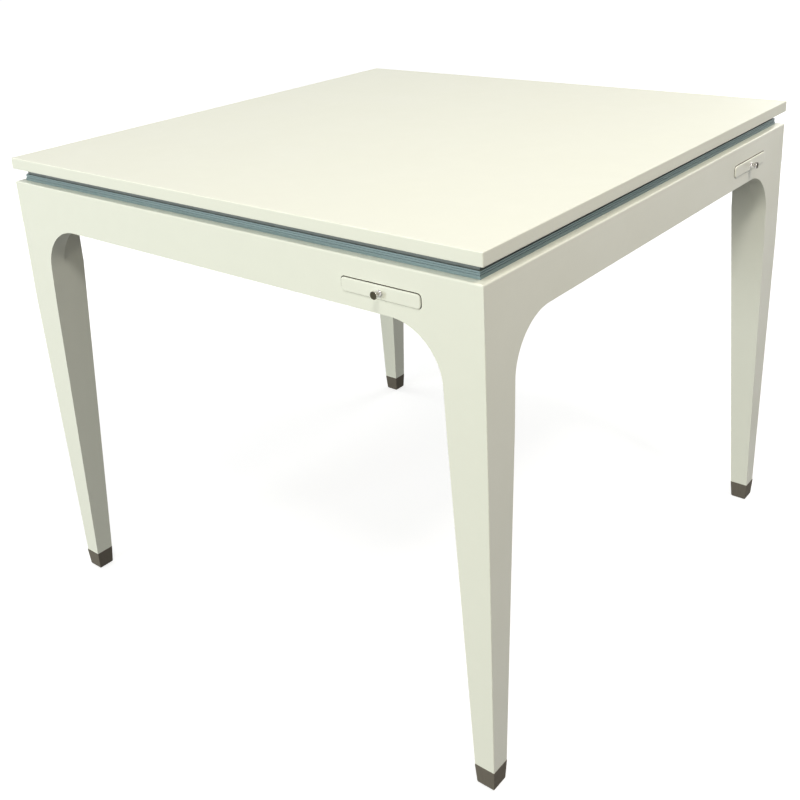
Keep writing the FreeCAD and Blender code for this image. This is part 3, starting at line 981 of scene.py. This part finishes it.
@dataclass(frozen=True)
class WoodScrews:
    """Small cross-recessed pan-head screws, shown from their heads to the surface that they bear on."""

    palette: Palette
    head_radius: float = 3.3 * MM
    head_height: float = 1.8 * MM
    recess_width: float = 0.8 * MM
    recess_reach: float = 1.7 * MM
    recess_depth: float = 1.1 * MM
    segments: int = 20
    # The head above its seat, as shares of its height and of its radius.
    dome: tuple[Point, ...] = ((0.45, 1), (0.8, 0.82), (1, 0.5), (1, 0))

    def head(self) -> Shape:
        """One head, with its seat at the origin and its recess up +Z.

        Returns:
            The head.
        """
        profile = [(0, 0), (0, self.head_radius)]
        profile += [(up * self.head_height, out * self.head_radius) for up, out in self.dome]
        shape = lathe(profile, self.segments, Matrix())
        reach, wide = self.recess_reach, self.recess_width / 2
        for across, along in ((reach, wide), (wide, reach)):
            slot = block((-across, -along, self.head_height - self.recess_depth),
                         (across, along, 2 * self.head_height))
            shape = combined(shape, slot, Join.CUT)
        return shape

    def build(self, name: str, body: str, places: Sequence[Matrix]) -> None:
        """Makes one piece that holds a screw at each place.

        Args:
            name: The piece's name.
            body: The body that it rides on.
            places: Each screw's seat, with +Z out of the surface.
        """
        head = self.head()
        shape = gathered(copied(head, place) for place in places)
        head.free()
        Piece(name, body, self.palette.zinc, "zinc_steel", easing=0).make(shape)


@dataclass(frozen=True)
class Rim:
    """The fluted strips that show between the apron and the cover."""

    palette: Palette
    flute_depth: float = 1.0 * MM
    flute_height: float = 1.7 * MM
    flutes: int = 2
    flute_pitch: float = 3.0 * MM
    flute_land: float = 0.9 * MM
    quirk_height: float = 10 * MM
    quirk_depth: float = 3 * MM

    def strip(self) -> Shape:
        """The front strip, with a quirk under the cover whose faces carry a dark painted shade, mitred at
        both ends.

        Returns:
            The strip.
        """
        low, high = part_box("front_rim")
        front, back = low.y, high.y
        inner, deep = front + self.quirk_depth, front + self.flute_depth
        brow = high.z - self.quirk_height
        outline = Outline(Plane.SIDE, low.x, inner, high.z)
        outline.line((back, high.z), (back, low.z), (front, low.z))
        for number in reversed(range(self.flutes)):
            top = brow - self.flute_land - number * self.flute_pitch
            bottom = top - self.flute_height
            outline.line((front, bottom), (deep, bottom), (deep, top), (front, top))
        outline.line((front, brow), (inner, brow))
        strip = mitred(outline.solid(high.x - low.x), -front, back - front, 2 * high.z)

        def in_quirk(face: bmesh.types.BMFace) -> bool:
            """True for a face of the quirk's floor or wall, which gets the dark painted shade."""
            middle = face.calc_center_median()
            return middle.z > brow - LOOSE and middle.y < inner + LOOSE

        return marked(strip, in_quirk)

    def build(self) -> None:
        """Makes the four strips."""
        strip = self.strip()
        for side in Side:
            # The quirk's faces take the painted shade as their inlay.
            Piece(f"rim_strip_{side.word}", "frame", self.palette.trim[side.runs_along_x], "fluted_trim",
                  (f"{side.word}_rim",), easing=0.15 * MM,
                  inlay=self.palette.quirk).make(copied(strip, side.turn))
        strip.free()


@dataclass(frozen=True)
class Apron:
    """The four rails with their drawer openings."""

    sizes: TableSizes
    palette: Palette
    arris: float = 2.5 * MM
    arris_steps: int = 4
    rebate_width: float = 12 * MM
    opening_width: float = 123 * MM
    opening_height: float = 20 * MM
    opening_rise: float = 18.5 * MM
    opening_round: float = 6 * MM
    opening_arris: float = 0.8 * MM
    opening_arris_steps: int = 2
    opening_from_corner: float = 147.5 * MM
    arch_steps: int = 6

    @property
    def opening_edges(self) -> tuple[float, float, float, float]:
        """The edges of the front drawer's opening.

        Returns:
            Its left, right, lower and upper edge.
        """
        middle, reach = self.sizes.half - self.opening_from_corner, self.opening_width / 2
        low = self.sizes.rail_low + self.opening_rise
        return middle - reach, middle + reach, low, low + self.opening_height

    def board(self) -> Shape:
        """The front rail as a board: arched at its ends, mitred, and rebated for the playing board.

        Returns:
            The rail without its opening.
        """
        sizes = self.sizes
        half, top, seam, turn = sizes.half, sizes.rail_top, sizes.seam, sizes.seam_degrees
        seam_x = half - sizes.arch_reach + sizes.shoulder_radius * math.sin(math.radians(turn))
        arch_x = half - sizes.arch_reach
        outline = Outline(Plane.FRONT, -half, -half, top).line((-half, seam), (-seam_x, seam))
        outline.arc((-arch_x, sizes.arch_height), -turn, self.arch_steps).line((arch_x, sizes.rail_low))
        outline.arc((arch_x, sizes.arch_height), -turn, self.arch_steps).line((half, seam), (half, top))
        shape = outline.solid(sizes.apron_thickness)
        bevelled(shape, self.arris, self.arris_steps, lying_at(y=-half, z=top))
        shape = mitred(shape, half, sizes.apron_thickness, 2 * top)
        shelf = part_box("playing_board")[0].z
        rebate = block((-half, -sizes.rail_inner - self.rebate_width, shelf), (half, -half / 2, 2 * top))
        return combined(shape, rebate, Join.CUT)

    def rail(self) -> Shape:
        """The front rail, open for its drawer; the opening's walls and eased edge are dark bare board,
        darkened further as painted shade of the gap round the drawer.

        Returns:
            The rail.
        """
        left, right, low, high = self.opening_edges
        space = rounded_block(left, right, low, high, self.opening_round, -self.sizes.half - self.arris,
                              self.sizes.apron_thickness + 2 * self.arris)
        shape = combined(self.board(), space, Join.CUT)

        def around(spot: Vector) -> bool:
            """True for a place on the opening's edge or in its wall."""
            return left - MM < spot.x < right + MM and low - MM < spot.z < high + MM

        in_front = lying_at(y=-self.sizes.half)
        bevelled(shape, self.opening_arris, self.opening_arris_steps,
                 lambda one, other: around(one) and around(other) and in_front(one, other))
        # The opening's edge and walls take the dark finish: bare board and painted shade of the gap.
        return marked(shape, lambda face: around(face.calc_center_median()))

    def build(self) -> None:
        """Makes the four rails."""
        rail = self.rail()
        for side in Side:
            Piece(f"apron_rail_{side.word}", "frame", self.palette.lacquer, "ivory_lacquer",
                  (f"{side.word}_rail",), easing=0.4 * MM,
                  inlay=self.palette.bare_edge_and_gap_shade).make(copied(rail, side.turn))
        rail.free()


def rounded_block(left: float, right: float, low: float, high: float, radius: float, face: float,
                  thickness: float) -> Shape:
    """A block whose outline, seen from the front, has rounded corners.

    Args:
        left: Lowest x.
        right: Highest x.
        low: Lowest z.
        high: Highest z.
        radius: Rounding of the four corners.
        face: The y of its front face.
        thickness: Its depth behind that face.

    Returns:
        The block as a solid.
    """
    outline = Outline(Plane.FRONT, face, left + radius, low).line((right - radius, low))
    outline.arc((right - radius, low + radius), 90, ROUND_STEPS).line((right, high - radius))
    outline.arc((right - radius, high - radius), 90, ROUND_STEPS).line((left + radius, high))
    outline.arc((left + radius, high - radius), 90, ROUND_STEPS).line((left, low + radius))
    outline.arc((left + radius, low + radius), 90, ROUND_STEPS)
    return outline.solid(thickness)


@dataclass(frozen=True)
class Legs:
    """The four tapered legs with arched wings, and their foot caps."""

    sizes: TableSizes
    palette: Palette
    foot_width: float = 30 * MM
    foot_setback: float = 7.5 * MM
    outer_taper_height: float = 520 * MM
    arch_steps: int = 24
    outer_edge: float = 1.2 * MM
    edge_steps: int = 3
    cap_taper: float = 2.2 * MM
    cap_round: float = 0.3 * MM
    cap_lip: float = 0.2 * MM
    cap_lip_steps: int = 2
    cap_sleeve: float = 6 * MM
    cap_wall: float = 0.5 * MM
    cap_foot_round: float = 4 * MM
    cap_foot_steps: int = 6

    def silhouette(self, plane: Plane, sign: int) -> Shape:
        """One elevation of the front right leg, extruded through it.

        Args:
            plane: The plane of the elevation.
            sign: +1 where the table's corner is at the positive end of the drawing, else -1.

        Returns:
            The elevation as a thick solid.
        """
        sizes = self.sizes
        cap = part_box("front_right_foot_cap")[1].z
        corner = sign * sizes.half
        deep = sizes.arch_reach
        start = -sizes.half - deep / 2 if plane is Plane.FRONT else sizes.half + deep / 2
        outline = Outline(plane, start, corner, sizes.seam)
        outline.line(
            (corner, self.outer_taper_height),
            (corner - sign * self.foot_setback, cap),
            (corner - sign * (self.foot_setback + self.foot_width), cap),
            (corner - sign * sizes.leg_width, sizes.arch_height),
        )
        outline.arc((corner - sign * sizes.arch_reach, sizes.arch_height),
                    sign * (90 - sizes.seam_degrees), self.arch_steps)
        return outline.solid(2 * deep if plane is Plane.FRONT else -2 * deep)

    def behind_wings(self) -> Shape:
        """The space beside the square post and behind the two wings.

        Returns:
            The space as a solid.
        """
        sizes = self.sizes
        outer, wing, post, deep = sizes.half, sizes.apron_thickness, sizes.leg_width, 2 * sizes.arch_reach
        outline = Outline(Plane.PLAN, 0, outer - post, -outer + wing)
        outline.line(
            (outer - deep, -outer + wing),
            (outer - deep, -outer + deep),
            (outer - wing, -outer + deep),
            (outer - wing, -outer + post),
            (outer - post, -outer + post),
        )
        return outline.solid(2 * sizes.seam)

    def tenon(self) -> Shape:
        """The three-cornered tenon that stands on the post between the rails.

        Returns:
            The tenon.
        """
        sizes = self.sizes
        outer, wing, post = sizes.half, sizes.apron_thickness, sizes.leg_width
        outline = Outline(Plane.PLAN, sizes.seam, outer - wing, -outer + wing)
        outline.line((outer - wing, -outer + post), (outer - post, -outer + wing))
        return outline.solid(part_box("front_right_leg")[1].z - sizes.seam)

    def leg(self) -> Shape:
        """The front right leg with its wings and its tenon.

        Returns:
            The leg.
        """
        edge = self.sizes.half - self.foot_setback - MM
        shape = combined(self.silhouette(Plane.FRONT, 1), self.silhouette(Plane.SIDE, -1), Join.MEET)
        shape = combined(shape, self.behind_wings(), Join.CUT)
        shape = combined(shape, self.tenon(), Join.WELD)
        return bevelled(shape, self.outer_edge, self.edge_steps, lambda one, other: all(
            same(end.x, -end.y) and end.x > edge for end in (one, other)))

    def cap(self, leg: Shape) -> Shape:
        """The front right foot cap, narrowing to the floor, with a thin sleeve up the foot of the leg.

        Args:
            leg: The front right leg, which is kept.

        Returns:
            The cap.
        """
        low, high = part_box("front_right_foot_cap")
        middle = (low + high) / 2
        wall = Vector((self.cap_wall, self.cap_wall, 0))
        bottom, top = low - wall, high + wall + Vector((0, 0, self.cap_sleeve))
        narrowing = 1 - 2 * self.cap_taper / (top.x - bottom.x)
        shape = block(bottom, top)
        foot = [vert for vert in shape.verts if same(vert.co.z, bottom.z)]
        bmesh.ops.scale(shape, verts=foot, vec=(narrowing, narrowing, 1),
                        space=Matrix.Translation((-middle.x, -middle.y, 0)))
        bevelled(shape, self.cap_foot_round, self.cap_foot_steps, lying_at(z=bottom.z))
        bevelled(shape, self.cap_round, self.edge_steps, lambda one, other: not same(one.z, other.z))
        bevelled(shape, self.cap_lip, self.cap_lip_steps, lying_at(z=top.z))
        return combined(shape, leg.copy(), Join.CUT)

    def build(self) -> None:
        """Makes the four legs and their caps."""
        leg = self.leg()
        cap = self.cap(leg)
        for corner in Corner:
            Piece(f"leg_{corner.word}", "frame", self.palette.lacquer, "ivory_lacquer",
                  (f"{corner.word}_leg",), easing=0.6 * MM, steps=3).make(copied(leg, corner.turn))
            Piece(f"cap_{corner.word}", "frame", self.palette.pewter, "pewter_cap",
                  (f"{corner.word}_foot_cap",), easing=0).make(copied(cap, corner.turn))
        leg.free()
        cap.free()


@dataclass(frozen=True)
class Drawers:
    """The four chip drawers: front, tray, pull and its screw, and the housing that each runs in."""

    palette: Palette
    face_round: float = 5 * MM
    face_arris: float = 1.8 * MM
    face_arris_steps: int = 3
    # Behind this depth the face's sides take the dark bare-board finish, which is also painted shade in the
    # gap.
    painted_depth: float = 2.7 * MM
    tray_wall: float = 2 * MM
    pull_segments: int = 40
    # How far the dark painted reflection reaches back from the pull's end.
    pull_end_depth: float = 0.5 * MM
    screw_radius: float = 3.2 * MM
    screw_height: float = 2 * MM
    flange_width: float = 12 * MM
    flange_thickness: float = 3 * MM
    flange_screw_inset: float = 25 * MM
    # The pull's profile: distance from its foot, then from its end, each with a share of its radius.
    pull_neck: tuple[Point, ...] = (
        (0, 0.66), (0.9 * MM, 0.69), (1.4 * MM, 0.62), (1.9 * MM, 0.50), (3.2 * MM, 0.44), (4.8 * MM, 0.46),
        (6.2 * MM, 0.60), (7.4 * MM, 0.86), (8.1 * MM, 0.97), (8.8 * MM, 1),
    )
    pull_head: tuple[Point, ...] = (
        (0.6 * MM, 1), (0.15 * MM, 0.965), (0, 0.90), (0.2 * MM, 0.82), (0.3 * MM, 0.5), (0.35 * MM, 0),
    )

    def face(self) -> Shape:
        """The front drawer's face, lacquered in front; behind, dark bare board that is also painted shade in
        the gap round it.

        Returns:
            The face.
        """
        low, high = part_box("front_drawer_face")
        shape = rounded_block(low.x, high.x, low.z, high.z, self.face_round, low.y, high.y - low.y)
        bevelled(shape, self.face_arris, self.face_arris_steps, lying_at(y=low.y))
        return marked(shape, lambda face: face.calc_center_median().y > low.y + self.painted_depth)

    def on_pull(self, y: float, turn: Matrix) -> Matrix:
        """The place on the front pull's axis at a given y, with a turn."""
        low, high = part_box("front_drawer_knob")
        return Matrix.Translation(((low.x + high.x) / 2, y, (low.z + high.z) / 2)) @ turn

    def pull(self) -> Shape:
        """The front drawer's pull: collar, waisted neck and flaring head with a dished end, whose dark
        finish is a painted reflection of a dark surround.

        Returns:
            The pull.
        """
        low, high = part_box("front_drawer_knob")
        radius, length = (high.x - low.x) / 2, high.y - low.y
        profile = [(0, 0)]
        profile += [(distance, share * radius) for distance, share in self.pull_neck]
        profile += [(length - distance, share * radius) for distance, share in self.pull_head]
        tip = low.y + self.pull_end_depth
        return marked(lathe(profile, self.pull_segments, self.on_pull(high.y, OUTWARDS)),
                      lambda face: all(corner.co.y < tip for corner in face.verts))

    def screw(self) -> Shape:
        """The pull's screw, from its head inside the tray's front wall.

        Returns:
            The screw's head.
        """
        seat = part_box("front_drawer_tray")[0].y + self.tray_wall
        head = WoodScrews(self.palette, self.screw_radius, self.screw_height).head()
        bmesh.ops.transform(head, matrix=self.on_pull(seat, INWARDS), verts=head.verts)
        return head

    def build(self) -> None:
        """Makes the drawers and their housings."""
        palette = self.palette
        face, tray, pull, screw = self.face(), solid_of("front_drawer_tray"), self.pull(), self.screw()
        for side in Side:
            body, word = f"{side.word}_drawer", side.word
            Piece(f"drawer_front_{word}", body, palette.lacquer, "ivory_lacquer", (f"{word}_drawer_face",),
                  easing=0.3 * MM, inlay=palette.bare_edge_and_gap_shade).make(copied(face, side.turn))
            Piece(f"chip_tray_{word}", body, palette.tray, "tray_plastic", (f"{word}_drawer_tray",),
                  easing=0.4 * MM).make(copied(tray, side.turn))
            Piece(f"pull_{word}", body, palette.chrome, "chrome_knob", (f"{word}_drawer_knob",),
                  easing=0, inlay=palette.pull_end).make(copied(pull, side.turn))
            Piece(f"pull_screw_{word}", body, palette.zinc, "zinc_steel",
                  easing=0).make(copied(screw, side.turn))
            Piece(f"drawer_housing_{word}", "frame", palette.housing, "housing_plastic",
                  (f"{word}_drawer_housing",), easing=0.4 * MM).make(solid_of(f"{word}_drawer_housing"))
        for shape in (face, tray, pull, screw):
            shape.free()
        self.build_housing_screws()

    def build_housing_screws(self) -> None:
        """Makes the screws through the housings' flanges."""
        low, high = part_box("front_drawer_housing")
        seat = high.z - self.flange_thickness
        places = [
            side.turn @ Matrix.Translation((x, y, seat)) @ DOWN
            for side in Side
            for x in (low.x + self.flange_width / 2, high.x - self.flange_width / 2)
            for y in (low.y + self.flange_screw_inset, high.y - self.flange_screw_inset)
        ]
        WoodScrews(self.palette).build("housing_screws", "frame", places)


@dataclass(frozen=True)
class PlayingField:
    """The playing board, its cloth and the bearers under it."""

    palette: Palette
    cloth_cells: int = 48
    bearer_screws: tuple[float, float] = (120 * MM, 300 * MM)

    def cloth(self) -> Shape:
        """The cloth's upper face as a fine grid.

        Returns:
            The grid, which a modifier gives its thickness.
        """
        low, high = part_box("playing_cloth")
        shape = bmesh.new()
        bmesh.ops.create_grid(shape, x_segments=self.cloth_cells, y_segments=self.cloth_cells,
                              size=(high.x - low.x) / 2, matrix=Matrix.Translation((0, 0, high.z)))
        return shape

    def build(self) -> None:
        """Makes the board, the cloth and the bearers with their screws."""
        dress("playing_board", self.palette.ply)
        low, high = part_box("playing_cloth")
        cloth = Piece("playing_cloth_sheet", "frame", self.palette.cloth, "green_cloth", ("playing_cloth",),
                      easing=0).make(self.cloth())
        body = cloth.modifiers.new("cloth_body", "SOLIDIFY")
        body.thickness = high.z - low.z
        body.offset = -1
        for node, along_x in (("front_back_bearer", False), ("side_bearer", True)):
            Piece(f"{node}_rail", "frame", self.palette.pine[along_x], "pine", (node,),
                  easing=0.8 * MM).make(solid_of(node))
        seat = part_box("side_bearer")[0].z
        places = [
            side.turn @ Matrix.Translation((0, -reach, seat)) @ DOWN
            for side in Side
            for reach in self.bearer_screws
        ]
        WoodScrews(self.palette).build("bearer_screws", "frame", places)


@dataclass(frozen=True)
class CornerFixings:
    """The corner brackets with their screws, and the hanger bolts, washers and nuts that hold the legs."""

    sizes: TableSizes
    palette: Palette
    sheet: float = 2 * MM
    screw_reach: float = 66.5 * MM
    screw_inset: float = 10 * MM
    bolt_radius: float = 4 * MM
    thread_pitch: float = 1.25 * MM
    thread_depth: float = 0.5 * MM
    thread_length: float = 46.1 * MM
    bolt_segments: int = 20

    def build(self) -> None:
        """Makes the brackets and every fixing on them."""
        for corner in Corner:
            node = f"{corner.word}_bracket"
            Piece(f"corner_bracket_{corner.word}", "frame", self.palette.zinc, "zinc_steel", (node,),
                  easing=0.5 * MM).make(solid_of(node))
        low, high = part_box("front_right_bracket")
        face = -self.sizes.rail_inner + self.sheet
        along = self.sizes.half - self.screw_reach
        places = [
            side.turn @ Matrix.Translation((end * along, face, height)) @ INWARDS
            for side in Side
            for end in (-1, 1)
            for height in (low.z + self.screw_inset, high.z - self.screw_inset)
        ]
        WoodScrews(self.palette).build("bracket_screws", "frame", places)
        self.build_bolts()
        for node in ("leg_washers", "leg_nuts"):
            Piece(f"{node}_zinc", "frame", self.palette.zinc, "zinc_steel", (node,),
                  easing=0.3 * MM).make(solid_of(node))

    def build_bolts(self) -> None:
        """Makes the threaded ends of the hanger bolts."""
        low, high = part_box("leg_bolts")
        reach = high.x - self.bolt_radius / math.sqrt(2)
        core = self.bolt_radius - self.thread_depth
        profile = [(0, 0)]
        for number in range(int(self.thread_length / self.thread_pitch)):
            start = number * self.thread_pitch
            profile += [(start, core), (start + self.thread_pitch / 2, self.bolt_radius)]
        profile += [(self.thread_length, core), (self.thread_length, 0)]
        inwards = Vector((-1, 1, 0)).to_track_quat("Z", "Y").to_matrix().to_4x4()
        places = [
            corner.turn @ Matrix.Translation((reach, -reach, height)) @ inwards
            for corner in Corner
            for height in (low.z + self.bolt_radius, high.z - self.bolt_radius)
        ]
        bolts = gathered(lathe(profile, self.bolt_segments, place) for place in places)
        Piece("hanger_bolts", "frame", self.palette.zinc, "zinc_steel", ("leg_bolts",), easing=0).make(bolts)


# ---------------------------------------------------------------- studio

@dataclass(frozen=True)
class Lamp:
    """A soft round lamp."""

    name: str
    place: tuple[float, float, float]
    aim: tuple[float, float, float]
    size: float
    power: float
    colour: Colour

    def hang(self) -> None:
        """Puts the lamp up."""
        light = bpy.data.lights.new(self.name, "AREA")
        light.shape = "DISK"
        light.size = self.size
        light.energy = self.power
        light.color = self.colour
        lamp = bpy.data.objects.new(self.name, light)
        lamp.location = self.place
        lamp.rotation_euler = (Vector(self.aim) - Vector(self.place)).to_track_quat("-Z", "Y").to_euler()
        bpy.context.scene.collection.objects.link(lamp)


@dataclass(frozen=True)
class Studio:
    """The pale floor, the soft lamps and the camera."""

    camera_place: tuple[float, float, float] = (1.0600, -1.3233, 1.1291)
    yaw: float = 39.73
    pitch: float = 19.99
    roll: float = -3.05
    lens: float = 47.54
    sensor: float = 36.0
    shift: tuple[float, float] = (0.0, -0.160)
    ambient: float = 0.22
    floor_shown: float = 0.5
    floor_bounced: float = 0.12
    floor_glow: tuple[float, float] = (0.72, 0.93)
    glow_reach: tuple[float, float] = (0.7, 2.6)
    floor_size: float = 60.0
    lamps: tuple[Lamp, ...] = (
        Lamp("key", (1.2, -1.7, 3.1), (0.0, 0.0, 0.6), 0.5, 25.0, (1.0, 0.98, 0.94)),
        Lamp("back", (0.4, 4.2, 1.5), (0.0, 0.0, 0.5), 2.6, 60.0, (0.97, 1.0, 0.97)),
        Lamp("left", (-4.2, -0.4, 1.5), (0.0, 0.0, 0.5), 2.6, 50.0, (0.97, 1.0, 0.97)),
        Lamp("right", (5.0, -0.6, 0.8), (0.0, 0.0, 0.4), 1.0, 8.0, (1.0, 0.97, 0.92)),
        Lamp("overhead", (-0.9, 0.4, 3.1), (0.0, 0.0, 0.6), 0.8, 7.0, (1.0, 1.0, 0.98)),
        Lamp("overhead_right", (1.9, -0.1, 3.0), (0.0, 0.0, 0.6), 0.5, 36.0, (1.0, 0.90, 0.81)),
        Lamp("front", (0.45, -6.5, 1.6), (0.0, 0.0, 0.4), 2.0, 134.0, (1.0, 0.96, 0.78)),
        Lamp("front_left", (-1.6, -4.2, 1.3), (0.0, 0.0, 0.4), 1.4, 60.0, (0.86, 0.93, 1.0)),
    )

    def build(self) -> None:
        """Sets up the world, the floor, the lamps and the camera."""
        self.light_world()
        self.lay_floor()
        for lamp in self.lamps:
            lamp.hang()
        self.aim_camera()
        bpy.context.scene.view_settings.view_transform = "Standard"

    def light_world(self) -> None:
        """A white surround for the eye, and a dimmer one for the light on the table."""
        world = bpy.data.worlds.new("studio")
        tree = Tree(world)
        dim = tree.add("ShaderNodeBackground", {"Color": (1, 1, 1, 1), "Strength": self.ambient})
        white = tree.add("ShaderNodeBackground", {"Color": (1, 1, 1, 1)})
        mix = tree.add("ShaderNodeMixShader", {0: tree.seen(), 1: dim.outputs[0], 2: white.outputs[0]})
        tree.add("ShaderNodeOutputWorld", {"Surface": mix.outputs[0]})
        bpy.context.scene.world = world

    def lay_floor(self) -> None:
        """A pale floor that keeps the table's shadow and fades into the white."""
        shape = bmesh.new()
        bmesh.ops.create_grid(shape, x_segments=1, y_segments=1, size=self.floor_size / 2)
        floor = object_of(shape, "floor")
        material = bpy.data.materials.new("studio_floor")
        tree = Tree(material)
        seen = tree.seen()
        shade = tree.spread(seen, self.floor_bounced, self.floor_shown, 0, 1, smooth=True)
        matt = tree.add("ShaderNodeBsdfDiffuse", {"Color": shade})
        place = tree.add("ShaderNodeTexCoord").outputs["Object"]
        away = tree.add("ShaderNodeVectorMath", {0: place}, operation="LENGTH").outputs["Value"]
        fade = tree.spread(away, *self.floor_glow, *self.glow_reach, smooth=True)
        share = tree.add("ShaderNodeMath", {0: seen, 1: fade}, operation="MULTIPLY").outputs[0]
        glow = tree.add("ShaderNodeEmission", {"Strength": share})
        total = tree.add("ShaderNodeAddShader", {0: matt.outputs[0], 1: glow.outputs[0]})
        tree.add("ShaderNodeOutputMaterial", {"Surface": total.outputs[0]})
        floor.data.materials.append(material)

    def aim_camera(self) -> None:
        """Puts the camera up by its place, yaw, pitch and roll."""
        yaw, pitch, roll = (math.radians(angle) for angle in (self.yaw, self.pitch, self.roll))
        ahead = Vector((-math.sin(yaw) * math.cos(pitch), math.cos(yaw) * math.cos(pitch), -math.sin(pitch)))
        level = Vector((math.cos(yaw), math.sin(yaw), 0))
        upright = level.cross(ahead)
        right = math.cos(roll) * level + math.sin(roll) * upright
        up = -math.sin(roll) * level + math.cos(roll) * upright
        lens = bpy.data.cameras.new("camera")
        lens.sensor_width = self.sensor
        lens.sensor_fit = "HORIZONTAL"
        lens.lens = self.lens
        lens.shift_x, lens.shift_y = self.shift
        camera = bpy.data.objects.new("camera", lens)
        turn = Matrix((right, up, -ahead)).transposed().to_4x4()
        camera.matrix_world = Matrix.Translation(self.camera_place) @ turn
        bpy.context.scene.collection.objects.link(camera)
        bpy.context.scene.camera = camera


def main() -> None:
    """Builds the table's sub-assemblies in order, then the studio."""
    logging.basicConfig(level=logging.INFO, format="%(name)s: %(message)s")
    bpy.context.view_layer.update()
    sizes = TableSizes()
    palette = Palette()
    Cover(palette).build()
    Rim(palette).build()
    Apron(sizes, palette).build()
    Legs(sizes, palette).build()
    Drawers(palette).build()
    PlayingField(palette).build()
    CornerFixings(sizes, palette).build()
    Studio().build()
    bpy.context.view_layer.update()


if __name__ == "__main__":
    main()
